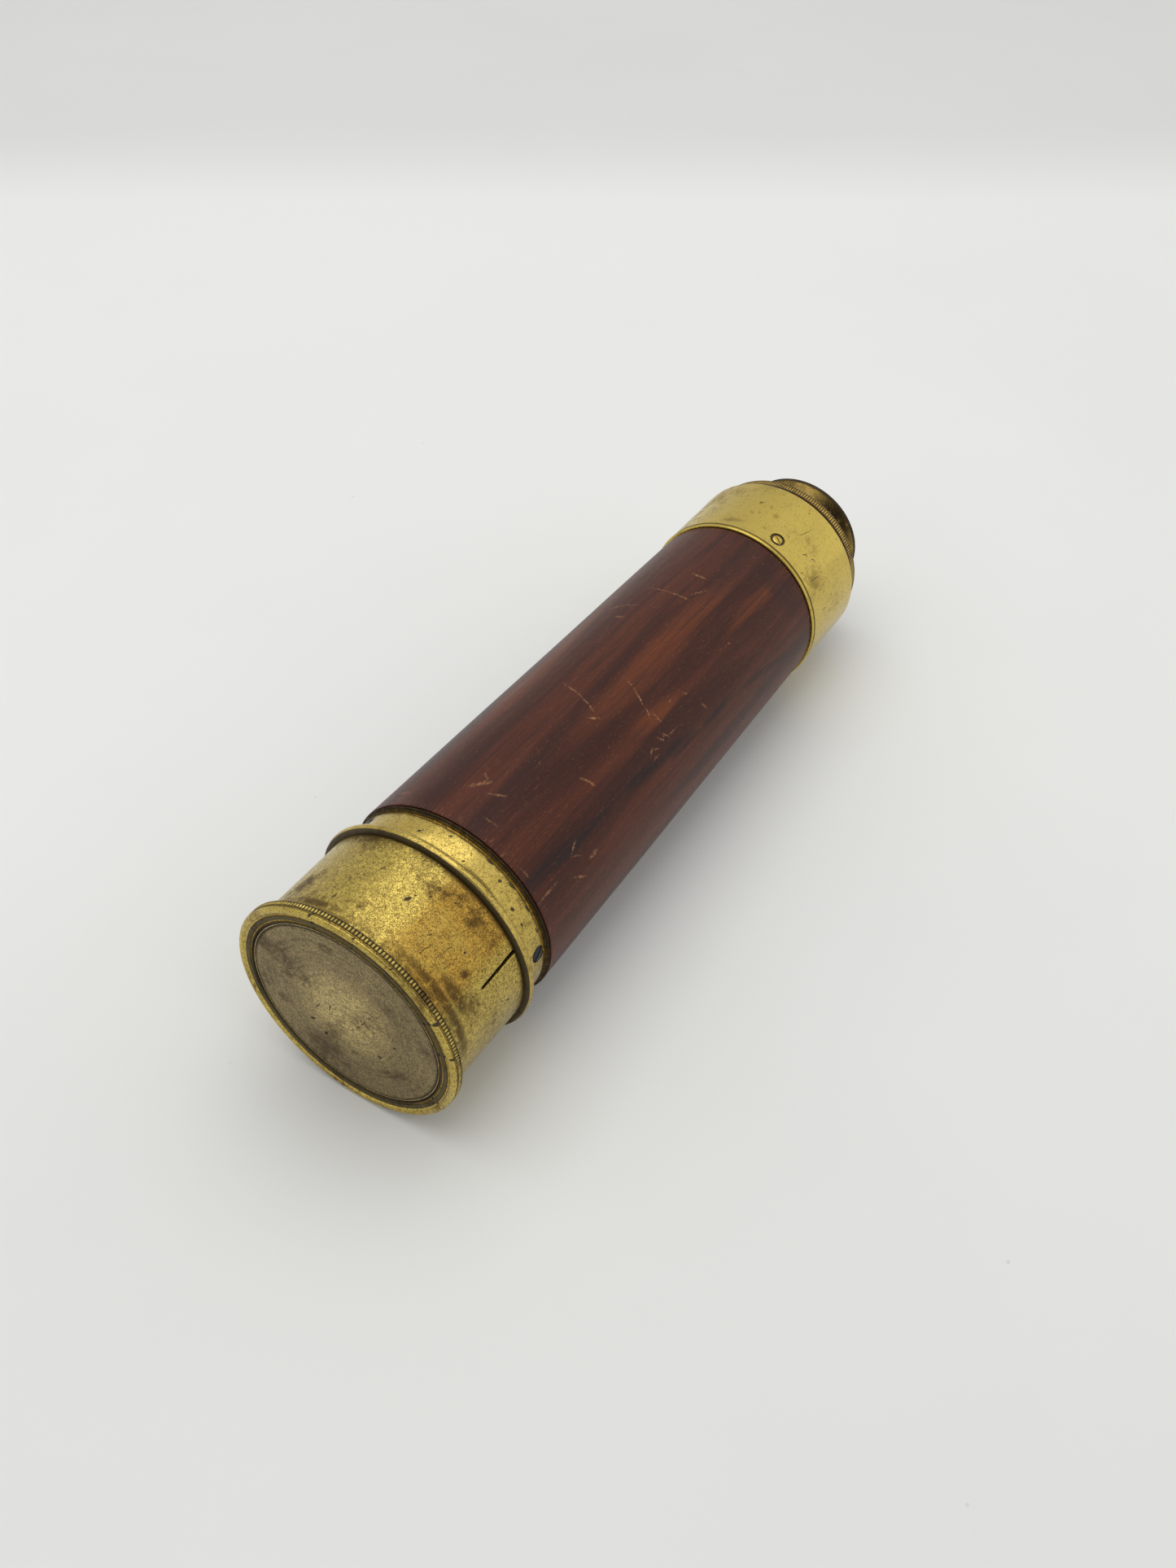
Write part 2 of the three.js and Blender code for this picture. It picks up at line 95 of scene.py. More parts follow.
class Nodes:
    """A tree built up node by node. A value can be a number, a colour or another node's output."""

    def __init__(self, tree):
        self.tree = tree
        tree.nodes.clear()

    def add(self, kind, values=None, **settings):
        node = self.tree.nodes.new(kind)
        for key, value in settings.items():
            setattr(node, key, value)
        self.put(node, values or {})
        return node

    def put(self, node, values):
        for key, value in values.items():
            if isinstance(value, bpy.types.NodeSocket):
                self.tree.links.new(value, node.inputs[key])
            else:
                node.inputs[key].default_value = value

    def math(self, operation, a, b=0.0):
        return self.add("ShaderNodeMath", {0: a, 1: b}, operation=operation).outputs[0]

    def minus(self, a, b):
        return self.math("SUBTRACT", a, b)

    def most(self, a, b):
        return self.math("MAXIMUM", a, b)

    def total(self, *values):
        made = values[0]
        for value in values[1:]:
            made = self.math("ADD", made, value)
        return made

    def times(self, *values):
        made = values[0]
        for value in values[1:]:
            made = self.math("MULTIPLY", made, value)
        return made

    def ramp(self, value, low, high, to_low=0.0, to_high=1.0):
        """value, taken smoothly from to_low at low to to_high at high, and held beyond them."""
        values = {"Value": value, "From Min": low, "From Max": high, "To Min": to_low, "To Max": to_high}
        return self.add("ShaderNodeMapRange", values, interpolation_type="SMOOTHSTEP").outputs[0]

    def mix(self, factor, a, b):
        return self.add("ShaderNodeMix", {0: factor, 6: a, 7: b}, data_type="RGBA").outputs[2]

    def vector(self, x, y, z):
        return self.add("ShaderNodeCombineXYZ", {0: x, 1: y, 2: z}).outputs[0]

    def split(self, vector):
        return self.add("ShaderNodeSeparateXYZ", {0: vector}).outputs

    def vectors(self, operation, a, b, output=0):
        return self.add("ShaderNodeVectorMath", {0: a, 1: b}, operation=operation).outputs[output]

    def stretch(self, vector, x, y, z):
        return self.vectors("MULTIPLY", vector, (x, y, z))

    def noise(self, vector, scale, detail=4.0, roughness=0.55, distortion=0.0):
        values = {"Vector": vector, "Scale": scale, "Detail": detail, "Roughness": roughness}
        return self.add("ShaderNodeTexNoise", {**values, "Distortion": distortion}).outputs["Fac"]

    def cells(self, vector, scale):
        """The distance to the nearest of a scatter of points, and a random number for that point."""
        node = self.add("ShaderNodeTexVoronoi", {"Vector": vector, "Scale": scale})
        chance = self.add("ShaderNodeSeparateColor", {0: node.outputs["Color"]}).outputs[0]
        return node.outputs["Distance"], chance


class Shader(Nodes):
    """The nodes of a new material."""

    def __init__(self, name):
        self.material = bpy.data.materials.new(name)
        self.material.use_nodes = True
        super().__init__(self.material.node_tree)
        self.surface = self.add("ShaderNodeBsdfPrincipled")
        self.add("ShaderNodeOutputMaterial", {"Surface": self.surface.outputs[0]})

    def set(self, **values):
        self.put(self.surface, {key.replace("_", " "): value for key, value in values.items()})

    def attribute(self, name):
        return self.add("ShaderNodeAttribute", attribute_name=name).outputs["Fac"]

    def bump(self, height, strength=1.0):
        """height is in millimetres."""
        values = {"Height": height, "Strength": strength, "Distance": MM}
        return self.add("ShaderNodeBump", values).outputs[0]

    def axis_position(self):
        """The point in millimetres, with X the station and Y and Z measured from the axis."""
        coordinates = self.add("ShaderNodeTexCoord").outputs["Object"]
        moved = self.vectors("SUBTRACT", coordinates, (FRONT_X, 0, AXIS_Z))
        return self.stretch(moved, 1 / MM, 1 / MM, 1 / MM)

    def polar(self, point):
        """(station, radius, angle in radians) of an axis position."""
        parts = self.split(point)
        squares = self.total(self.times(parts[1], parts[1]), self.times(parts[2], parts[2]))
        return parts[0], self.math("SQRT", squares), self.math("ARCTAN2", parts[2], parts[1])


def strokes(*marks):
    """Marks as single strokes. A mark is a half width in millimetres, then the (station, degrees)
    points that it is drawn through."""
    return [(*a, *b, width) for width, *points in marks for a, b in zip(points, points[1:])]


def nearest_stroke(s, flat, radius, marks):
    """How far a point is from the nearest stroke: 0 on its middle and 1 at its edge. flat is (station,
    distance round a cylinder of a radius)."""
    nearest = None
    for at, turn, to, to_turn, width in marks:
        along, around = to - at, math.radians(to_turn - turn) * radius
        middle = ((at + to) / 2, math.radians((turn + to_turn) / 2) * radius, 0)
        values = {
            "Vector": flat,
            "Location": middle,
            "Rotation": (0, 0, math.atan2(around, along)),
            "Scale": (math.hypot(along, around) / 2 + width, width, 1),
        }
        local = s.add("ShaderNodeMapping", values, vector_type="TEXTURE").outputs[0]
        apart = s.add("ShaderNodeVectorMath", {0: local}, operation="LENGTH").outputs["Value"]
        nearest = apart if nearest is None else s.math("MINIMUM", nearest, apart)
    return nearest


def unrolled(s, point, station, angle, radius, ragged):
    """(station, distance round the axis) of a point, shaken a little so that marks have ragged edges."""
    flat = s.vector(station, s.times(angle, radius), 0)
    shake = s.add("ShaderNodeTexNoise", {"Vector": point, "Scale": 1.6, "Detail": 4.0, "Roughness": 0.7})
    centred = s.vectors("SUBTRACT", shake.outputs["Color"], (0.5, 0.5, 0.5))
    return s.vectors("ADD", flat, s.stretch(centred, ragged, ragged, 0))


def hairlines(s, point, scale, width, share):
    """Fine curling scratches. share is how much of the surface has them."""
    field = s.noise(point, scale, 3, 0.6, 0.8)
    line = s.ramp(s.math("ABSOLUTE", s.minus(field, 0.5)), width, width * 0.3)
    where = s.noise(point, scale * 1.7, 2, 0.6)
    return s.times(line, s.ramp(where, 0.62 - 0.25 * share, 0.68 - 0.25 * share))


# Near black: soiling, pits and marks, and painted shade in grooves and hollows.
SOIL_AND_SHADE_COLOUR = (0.022, 0.013, 0.006, 1)
BROWN = (0.11, 0.058, 0.018, 1)
PAINTED_REFLECTION_COLOUR = (0.55, 0.325, 0.056, 1)


def brass(name, clean, dull, brown=BROWN, roughness=0.25, cloud=0.6, pits=0.5, lines=0.5, waves=0.5,
          hairs=0.5, patchy=0.78, turned_lines=5.5, grain=0.0, radius=24.2, painted_reflection_side=None, face=None,
          patina_and_shade_strokes=(), marks=(), dark_ends=()):
    """Old brass.

    clean, dull and brown are its colours. cloud is how much of it is dull, patchy is how strong its
    brown patches are and grain is how speckled it is. pits and hairs are how many pits and fine
    scratches it has, and waves is how uneven it is. lines is how deep the turning marks are, and
    turned_lines is how many there are to the millimetre. painted_reflection_side is (degrees from, degrees
    to) of a side painted a warmer colour: a painted reflection. dark_ends are (station clear, station dark)
    pairs. patina_and_shade_strokes (brown and soft: patina, and painted shade on the eye cup) and marks
    (nearly black) are strokes on a cylinder of a radius. face is (clear radius, dull radius) of a flat
    face, whose strokes go through points across the axis.
    """
    s = Shader(name)
    point = s.axis_position()
    station, distance_out, angle = s.polar(point)
    soil_and_shade, wear = s.attribute("soil_and_shade"), s.attribute("wear")

    broad = s.noise(point, 0.085, 7, 0.6)
    mottle = s.noise(point, 0.75, 5, 0.72)
    out = s.times(distance_out, turned_lines)
    turning_at = s.vector(s.times(station, turned_lines), out, s.times(angle, 1.6))
    turning = s.noise(turning_at, 1.0, 4, 0.7)
    uneven = s.noise(point, 0.16, 3, 0.5)

    # Painted dark in grooves and hollows (soil_and_shade: soiling and painted shade), then in pits and marks.
    black = s.ramp(soil_and_shade, 0.12, 0.7)
    for scale, largest in ((1.5, 0.17), (3.6, 0.27)):
        apart, chance = s.cells(point, scale)
        size = s.ramp(chance, 1.0 - 0.8 * pits, 1.0, 0.0, largest)
        pit = s.ramp(s.minus(s.total(apart, s.times(mottle, 0.25)), size), 0.19, 0.07)
        pit = s.times(pit, s.ramp(chance, 0.99 - 0.8 * pits, 1.0), s.ramp(mottle, 0.36, 0.50))
        black = s.most(black, pit)
    hair = s.most(hairlines(s, point, 0.75, 0.022, hairs), hairlines(s, point, 1.9, 0.045, hairs))

    brown_patina_and_shade = s.ramp(s.total(broad, s.times(mottle, 0.35)), 0.70, 0.88)
    for clear, dark in dark_ends:
        near = s.ramp(station, clear, dark)
        brown_patina_and_shade = s.most(brown_patina_and_shade, s.times(near, s.ramp(mottle, 0.34, 0.56)))
    if patina_and_shade_strokes or marks:
        across = s.split(point)
        along, around = (across[1], s.times(across[2], 1 / radius)) if face else (station, angle)
        flat = unrolled(s, point, along, around, radius, 0.55)
        if patina_and_shade_strokes:
            # Brown strokes: patina, and on the eye cup painted shade.
            stroke_patina_and_shade = s.ramp(nearest_stroke(s, flat, radius, patina_and_shade_strokes), 1.35, 0.35)
            brown_patina_and_shade = s.most(brown_patina_and_shade, s.times(stroke_patina_and_shade, s.ramp(mottle, 0.26, 0.50)))
        if marks:
            black = s.most(black, s.ramp(nearest_stroke(s, flat, radius, marks), 1.15, 0.7))

    cloudy = s.ramp(s.total(s.times(broad, 0.6), s.times(mottle, 0.5)), 0.40, 0.72)
    dullness = s.math("MINIMUM", s.times(cloudy, cloud), 1)
    if face:
        dullness = s.total(s.times(dullness, 0.45), s.ramp(distance_out, *face, 0.0, 0.75))
    dullness = s.most(s.minus(dullness, s.times(wear, 0.7)), 0)
    brown_patina_and_shade = s.most(s.minus(brown_patina_and_shade, wear), 0)

    colour = s.mix(dullness, clean, dull)
    if grain:
        fine = s.noise(point, 2.3, 3, 0.75)
        colour = s.mix(s.times(s.ramp(fine, 0.50, 0.64), grain), colour, brown)
        colour = s.mix(s.times(s.ramp(fine, 0.46, 0.34), 0.5 * grain), colour, clean)
    # A painted reflection: the side between two angles about the axis is painted a warmer colour.
    if painted_reflection_side:
        low, high = (math.radians(a) for a in painted_reflection_side)
        painted_reflection_mask = s.times(s.ramp(angle, low - 0.12, low + 0.08), s.ramp(angle, high + 0.12, high - 0.08))
        painted_reflection_mask = s.times(painted_reflection_mask, s.ramp(broad, 0.30, 0.55, 0.45, 0.95))
        colour = s.mix(painted_reflection_mask, colour, PAINTED_REFLECTION_COLOUR)
    for share, strength in ((s.ramp(turning, 0.45, 0.8), 0.40 * lines), (brown_patina_and_shade, patchy), (hair, 0.80)):
        colour = s.mix(s.times(share, strength), colour, brown)
    colour = s.mix(s.times(black, 0.92), colour, SOIL_AND_SHADE_COLOUR)
    rough = s.total(
        roughness,
        s.times(dullness, 0.14),
        s.times(brown_patina_and_shade, 0.20),
        s.times(s.minus(turning, 0.5), 0.20 * lines),
        s.times(s.minus(mottle, 0.5), 0.22),
        s.times(black, 0.35),
    )
    height = s.total(
        s.times(turning, 0.009 * lines),
        s.times(mottle, 0.014 * waves),
        s.times(uneven, 0.15 * waves),
        s.times(hair, -0.008),
        s.times(black, -0.035),
    )
    s.set(
        Base_Color=colour,
        Metallic=s.minus(1.0, s.times(black, 0.55)),
        Roughness=rough,
        Normal=s.bump(height),
    )
    return s.material


def blacked(name):
    """The matt black lacquer on pieces in the light path, thin on its edges."""
    s = Shader(name)
    point = s.axis_position()
    wear = s.attribute("wear")
    mottle = s.noise(point, 1.1, 5, 0.7)
    bare = s.times(wear, s.ramp(mottle, 0.50, 0.62))
    lacquer = s.mix(mottle, (0.006, 0.006, 0.006, 1), (0.020, 0.019, 0.018, 1))
    s.set(
        Base_Color=s.mix(bare, lacquer, (0.5, 0.35, 0.11, 1)),
        Metallic=bare,
        Roughness=s.ramp(mottle, 0.3, 0.7, 0.55, 0.8),
        Normal=s.bump(s.times(mottle, 0.02)),
    )
    return s.material


def dark_steel(name):
    s = Shader(name)
    point = s.axis_position()
    mottle = s.noise(point, 2.6, 5, 0.7)
    wear = s.attribute("wear")
    s.set(
        Base_Color=s.mix(s.most(s.times(wear, 0.5), s.ramp(mottle, 0.6, 0.75)),
                         (0.030, 0.030, 0.033, 1), (0.15, 0.14, 0.12, 1)),
        Metallic=0.9,
        Roughness=s.ramp(mottle, 0.35, 0.65, 0.30, 0.55),
        Normal=s.bump(s.times(mottle, 0.03)),
    )
    return s.material


WOOD_RADIUS = 23

# Pale knocks and scratches in the polish, through (station, degrees) points.
KNOCKS = strokes(
    (0.5, (44.3, 87), (46, 90), (47, 92.5)), (0.28, (47.6, 90.5), (48.5, 88)),
    (0.25, (44.5, 97), (46, 103)), (0.2, (80.5, 82), (79, 94), (77.2, 105)), (0.25, (75, 106), (76.5, 110)),
    (0.2, (89.6, 107), (88.6, 114), (87.2, 121)), (0.22, (87, 124), (86, 130)),
    (0.18, (87.5, 128), (88, 134)), (0.16, (80, 143), (81.5, 141), (83, 143.5)),
    (0.14, (82.4, 146.3), (80.6, 146)), (0.16, (84.5, 139), (85.5, 142.5), (86.5, 140), (87.5, 143.5)),
    (0.13, (88, 143), (91, 143)), (0.2, (48, 146), (50.5, 143)), (0.16, (50.2, 150.5), (48.3, 147.5)),
    (0.22, (46, 156), (49, 161)), (0.45, (52.4, 155.5), (54.2, 155.5)),
    (0.28, (61.6, 124), (62.6, 128), (62.9, 131)), (0.28, (101.2, 145.5), (101.8, 148.5)),
    (0.28, (93.4, 130.5), (93.7, 130.7)), (0.24, (98.6, 134), (98.9, 134.3)),
    (0.26, (118.4, 133), (118.7, 133)), (0.25, (38.5, 53), (38.6, 59)), (0.18, (39, 104), (39.2, 110)),
    (0.22, (36, 150), (41, 150)), (0.22, (36, 132), (36.2, 137)), (0.13, (120.4, 72), (120.5, 87)),
    (0.3, (120.5, 87), (120.6, 97)), (0.32, (129.5, 89), (129.6, 96)), (0.25, (107.4, 71), (107.6, 75)),
    (0.2, (111, 60), (112.2, 68), (113, 76)), (0.22, (123, 98), (126, 102)), (0.3, (70, 30), (73, 34)),
    (0.4, (97, 5), (98.5, 8)), (0.28, (118, -140), (121, -136)), (0.45, (61, -110), (63, -108)),
    (0.22, (88, -60), (92, -56)), (0.3, (134, -20), (134.6, -14)),
)
DARK_VEINS = strokes(
    (1.1, (33, 141), (68, 144), (83, 150), (98, 155), (110, 156)), (0.9, (117, 160), (136, 170)),
    (1, (30, 20), (90, 28), (150, 22)), (1.2, (40, -70), (100, -62), (150, -75)),
)
DARK_PATCHES = strokes(
    (3.2, (128, 104), (148, 104)), (3.2, (142, 116), (144, 148)),
)
ORANGE_PATCHES = strokes(
    (3.4, (68, 108), (138, 108)), (1.8, (82, 128), (96, 129)), (1.7, (120, 128), (149, 128)),
    (3, (60, 60), (120, 50)), (3, (50, -40), (120, -30)),
)
RED_LINES = strokes((0.22, (38, 109), (68, 111)))


def rosewood(name):
    """French-polished hardwood: dark figure and fine pores along the barrel, dust-filled, with pale
    knocks."""
    s = Shader(name)
    point = s.axis_position()
    station, radius, angle = s.polar(point)
    flat = unrolled(s, point, station, angle, WOOD_RADIUS, 1.1)
    slow = s.noise(s.stretch(point, 0.03, 0.20, 0.20), 1.0, 3, 0.6)
    wavy = s.vector(station, s.total(s.times(angle, WOOD_RADIUS), s.times(slow, 5.0)), 2.5)
    wavy = s.vectors("SUBTRACT", wavy, (0, 2.5, 2.5))

    drift = s.noise(s.stretch(point, 0.012, 0.03, 0.03), 1.0, 2)
    shift = s.vector(0, s.times(drift, 2.2), s.times(drift, 1.6))
    bent = s.vectors("ADD", s.stretch(point, 0.010, 0.17, 0.17), shift)
    figure = s.noise(bent, 1.0, 5, 0.55, 0.35)
    layers = s.noise(s.stretch(point, 0.014, 0.95, 0.95), 1.0, 4, 0.6)
    fibres = s.noise(s.stretch(point, 0.11, 4.2, 4.2), 1.0, 3, 0.65)
    flecks = s.noise(s.stretch(point, 0.75, 2.6, 2.6), 1.0, 4, 0.75)

    def near(where, marks, edge, core):
        return s.ramp(nearest_stroke(s, where, WOOD_RADIUS, marks), edge, core)

    veins = s.times(near(wavy, DARK_VEINS, 1.5, 0.3), s.ramp(layers, 0.30, 0.55))
    apart, chance = s.cells(s.vector(s.times(station, 0.85), s.times(angle, radius, 2.9), 0), 1.0)
    pores = s.times(s.ramp(apart, 0.26, 0.10), s.ramp(chance, 0.35, 0.45))
    dusty = s.times(pores, s.ramp(chance, 0.86, 0.94))
    rubbed = s.times(s.ramp(flecks, 0.56, 0.68), s.ramp(layers, 0.60, 0.42))
    colour = s.mix(s.ramp(figure, 0.34, 0.66), (0.042, 0.0110, 0.0068, 1), (0.090, 0.0235, 0.0110, 1))
    for share, strength, tint in (
        (near(wavy, ORANGE_PATCHES, 1.3, 0.3), 0.55, (0.185, 0.046, 0.0115, 1)),
        (near(wavy, DARK_PATCHES, 1.4, 0.4), 0.55, (0.034, 0.014, 0.011, 1)),
        (s.ramp(layers, 0.49, 0.72), 0.56, (0.034, 0.013, 0.010, 1)),
        (s.ramp(fibres, 0.51, 0.71), 0.56, (0.022, 0.009, 0.007, 1)),
        (veins, 0.8, (0.016, 0.009, 0.009, 1)),
        (near(flat, RED_LINES, 1.4, 0.5), 0.7, (0.045, 0.006, 0.005, 1)),
        (pores, 0.60, (0.014, 0.007, 0.005, 1)),
        (dusty, 0.50, (0.20, 0.098, 0.052, 1)),
        (rubbed, 0.34, (0.26, 0.105, 0.045, 1)),
    ):
        colour = s.mix(s.times(share, strength), colour, tint)

    crumble = s.noise(point, 1.7, 4, 0.75)
    thready = s.noise(s.stretch(point, 0.35, 3.0, 3.0), 1.0, 3, 0.7)
    knocks = near(flat, KNOCKS, 1.5, 0.5)
    knocks = s.times(knocks, s.ramp(crumble, 0.38, 0.60), s.ramp(thready, 0.30, 0.60, 0.35, 1.0))
    rubs = s.times(s.ramp(s.noise(point, 0.35, 6, 0.8), 0.64, 0.71), s.ramp(thready, 0.50, 0.62))
    ends = s.most(s.ramp(station, 37.5, 34.6), s.ramp(station, 148.0, 149.6))
    rubs = s.most(rubs, s.times(ends, s.ramp(thready, 0.56, 0.66), 0.5))
    worn = s.most(s.times(knocks, 0.8), s.times(rubs, 0.55))
    colour = s.mix(worn, colour, s.mix(thready, (0.27, 0.115, 0.048, 1), (0.44, 0.23, 0.11, 1)))

    hair = s.noise(s.stretch(point, 0.5, 7.0, 7.0), 1.0, 2, 0.6, 0.8)
    broad = s.noise(point, 0.11, 3, 0.5)
    uneven = s.times(s.minus(crumble, 0.5), 0.25)
    rough = s.total(0.40, s.times(worn, 0.25), s.times(pores, 0.10), uneven)
    height = s.total(
        s.times(fibres, -0.012), s.times(layers, -0.015), s.times(pores, -0.020), s.times(rubs, -0.05),
        s.times(broad, 0.10), s.times(hair, 0.006), s.times(crumble, 0.012),
    )
    relief = s.bump(height)
    s.set(
        Base_Color=colour,
        Roughness=rough,
        Coat_Weight=s.minus(0.06, s.times(worn, 0.05)),
        Coat_Roughness=0.20,
        Specular_IOR_Level=0.14,
        Normal=relief,
        Coat_Normal=relief,
    )
    return s.material


def lens_glass(name):
    s = Shader(name)
    s.set(
        Base_Color=(0.93, 0.97, 0.95, 1),
        Roughness=s.ramp(s.noise(s.axis_position(), 0.5, 5, 0.7), 0.5, 0.75, 0.01, 0.05),
        IOR=1.52,
        Transmission_Weight=1.0,
    )
    return s.material


AGED = dict(clean=(0.69, 0.525, 0.120, 1), dull=(0.47, 0.34, 0.085, 1))
BRIGHT = dict(clean=(0.66, 0.49, 0.12, 1), dull=(0.42, 0.30, 0.07, 1))

SLEEVE_STAINS = strokes(
    (1.9, (23.6, 52), (24, 78)), (1, (24.4, 80), (24.6, 160)), (1.1, (4.8, 55), (4.9, 86)),
    (1.3, (5.2, 114), (5.6, 190)), (1.6, (8, 140), (8.4, 160)), (0.9, (11.8, 145.5), (12.4, 146.5)),
    (1.2, (5, -160), (5, -60)), (1.4, (22, -120), (22, -90)), (1.1, (5, -30), (5.4, 30)),
)
SLEEVE_MARKS = strokes(
    (0.4, (14, 104), (14.9, 105)), (0.14, (15.8, 105.8), (16.2, 106.4)), (0.14, (6.5, 77), (8.5, 77)),
    (0.2, (9.4, 73.3), (9.6, 73.7)), (0.2, (14.7, 138.8), (14.9, 139.2)),
    (0.18, (11.8, 122.4), (12, 122.7)), (0.18, (20.2, 121), (20.4, 121.2)),
    (0.18, (17.7, 111), (17.9, 111.2)), (0.2, (21.3, 75), (21.5, 75.3)),
    (0.24, (19.4, 176.7), (19.6, 177.4)), (0.07, (7, 124), (11, 126)), (0.06, (9, 131), (14, 133)),
    (0.07, (9, 137), (11, 137.5)), (0.06, (12, 115), (13, 115.4)), (0.07, (16, 84), (19, 87)),
    (0.25, (15, -80), (15.4, -78)),
)
COLLAR_MARKS = strokes(
    (0.4, (29.3, 142.5), (29.6, 143.6)), (0.3, (29.5, 152), (29.6, 152.8)),
    (0.28, (31, 128.7), (31.2, 129.4)), (0.3, (29.4, 82.6), (29.6, 83.4)), (0.24, (32.4, 118), (32.6, 122)),
    (0.28, (32.3, 133), (32.6, 137)), (0.24, (32.4, 147), (32.5, 150)), (0.22, (32.2, 160), (32.4, 163)),
    (0.2, (28.6, 110), (28.8, 110.6)), (0.22, (31.6, 97), (31.8, 98)), (0.25, (30.4, -120), (30.7, -119)),
    (0.25, (29.8, 12), (30, 13)),
)
FERRULE_STAINS = strokes(
    (0.6, (162.9, 87), (163.5, 87.4)), (0.42, (162.6, 95), (163.3, 94)), (0.9, (160.4, 101), (160.8, 101)),
    (0.5, (158.2, 87.5), (158.5, 87.5)), (0.26, (159, 92), (159.2, 92)), (0.45, (159.7, 164), (159.9, 164)),
    (1, (153, 76), (154, 85)), (0.9, (165, -60), (166, -50)), (0.8, (157, 20), (158, 26)),
)
FERRULE_MARKS = strokes(
    (0.12, (156.4, 129.6), (157.5, 131), (157.2, 132.6)),
    (0.11, (158, 135.6), (158.8, 137.2), (158.4, 138.6)), (0.14, (152.2, 136.6), (152.7, 137.6)),
    (0.12, (155.2, 168), (156.8, 168)), (0.16, (168.3, 115), (168.5, 115.3)),
    (0.16, (163.1, 86.4), (163.4, 87.4)), (0.08, (160, 120), (164, 123)), (0.07, (153, 145), (158, 147)),
    (0.16, (160, -30), (161, -28)),
)
RIM_MARKS = strokes(
    (0.45, (0.3, 149.2), (0.8, 149.9)), (0.35, (0.3, 168.8), (0.7, 169.4)),
    (0.35, (0.4, 78.7), (0.8, 79.4)), (0.22, (0.3, 120), (0.5, 120.6)), (0.22, (0.4, 101), (0.6, 101.5)),
    (0.25, (0.4, -150), (0.6, -149)),
)

# The plate's marks are through points across the axis, (towards +Y, up) in millimetres.
PLATE_STAINS = strokes(
    (1.1, (12.9, 3.1), (13.3, 3.1)), (1.4, (15.5, -6), (16.1, -6)), (1.3, (1.6, 18), (3.2, 17.6)),
    (0.8, (-1.6, -11), (-0.8, -11.2)), (1.6, (-13, -10), (-8, -12.5)),
)
PLATE_MARKS = strokes(
    (0.1, (-5.2, 1.5), (-3.6, -1.1), (-2.4, -2.5)), (0.09, (-2.1, -3.2), (-0.9, -4.4), (1.2, -4.7)),
    (0.16, (3.5, 0.3), (3.9, -1.6)), (0.14, (6.1, -1), (7.2, -2.7)), (0.09, (6.6, -0.5), (8.4, -0.2)),
    (0.08, (-4, -3.2), (-4.5, -5.4)), (0.3, (-11.7, -2), (-11.5, -2)), (0.36, (-7.8, -7.8), (-7.4, -7.8)),
    (0.2, (-6.5, 3.2), (-6.2, 3.3)), (0.38, (8.4, -7.2), (8.9, -7.5)), (0.36, (5.6, -9.8), (6, -10.3)),
    (0.07, (-9.8, 1.6), (-5, 0.8)), (0.06, (-13, 6), (-9, 9.5)), (0.06, (9, 8), (14, 4)),
)
# Painted shade on the eye cup: dark strokes on its side from about 116 to 152 degrees and underneath.
CUP_PAINTED_SHADE = strokes(
    (2.6, (183.2, 116), (183.8, 152)), (1.6, (183, -120), (183.4, -60)),
)

MATERIALS = {
    # The sleeve's side from 113 to 150 degrees is painted warmer, a painted reflection.
    "sleeve": brass("sleeve_brass", **AGED, brown=(0.075, 0.040, 0.015, 1), cloud=0.7, lines=0.35, waves=0.8,
                    hairs=1.15, patchy=0.82, grain=0.12, painted_reflection_side=(113, 150), patina_and_shade_strokes=SLEEVE_STAINS,
                    marks=SLEEVE_MARKS, dark_ends=((6.6, 2.4), (4.4, 2.4), (23.4, 24.9))),
    "rim": brass("rim_brass", **AGED, cloud=0.95, grain=0.25, pits=0.60, lines=0.3, waves=0.4, hairs=0.6,
                 radius=25.6, marks=RIM_MARKS),
    "plate": brass("plate_brass", clean=(0.80, 0.62, 0.235, 1), dull=(0.245, 0.180, 0.084, 1),
                   brown=(0.085, 0.062, 0.042, 1), roughness=0.34, cloud=0.45, pits=0.40, lines=1.5,
                   hairs=1.2, patchy=0.45, turned_lines=1.7, grain=0.6, face=(3.5, 15.0),
                   radius=math.degrees(1), patina_and_shade_strokes=PLATE_STAINS, marks=PLATE_MARKS),
    "collar": brass("collar_brass", **BRIGHT, roughness=0.18, cloud=0.7, grain=0.2, pits=0.60, lines=0.25,
                    waves=0.35, radius=23.3, marks=COLLAR_MARKS, dark_ends=((31.6, 33.0),)),
    "ferrule": brass("ferrule_brass", clean=(0.64, 0.48, 0.108, 1), dull=(0.48, 0.355, 0.088, 1),
                     roughness=0.22, cloud=0.5, pits=0.07, lines=0.2, waves=0.6, hairs=0.18, patchy=0.45,
                     radius=22.2, patina_and_shade_strokes=FERRULE_STAINS, marks=FERRULE_MARKS),
    "ring": brass("ring_brass", clean=(0.64, 0.42, 0.085, 1), dull=(0.42, 0.26, 0.055, 1), roughness=0.24,
                  pits=0.3, lines=0.3, waves=0.3, hairs=0.4),
    "cup": brass("cup_brass", clean=(0.30, 0.205, 0.055, 1), dull=(0.12, 0.080, 0.030, 1),
                 brown=(0.030, 0.019, 0.009, 1), roughness=0.30, cloud=0.9, pits=0.3, lines=0.4, waves=0.3,
                 hairs=0.5, patchy=0.95, radius=14.5, patina_and_shade_strokes=CUP_PAINTED_SHADE),
    "tube": brass("tube_brass", clean=(0.76, 0.58, 0.20, 1), dull=(0.56, 0.42, 0.14, 1), roughness=0.15,
                  cloud=0.35, patchy=0.40, pits=0.15, lines=0.35, waves=0.25, hairs=0.3),
    "black": blacked("blacked_brass"),
    "steel": dark_steel("dark_steel"),
    "wood": rosewood("rosewood_polish"),
    "glass": lens_glass("optical_glass"),
}


# ---- Turned shapes ----

SEGMENTS = 256


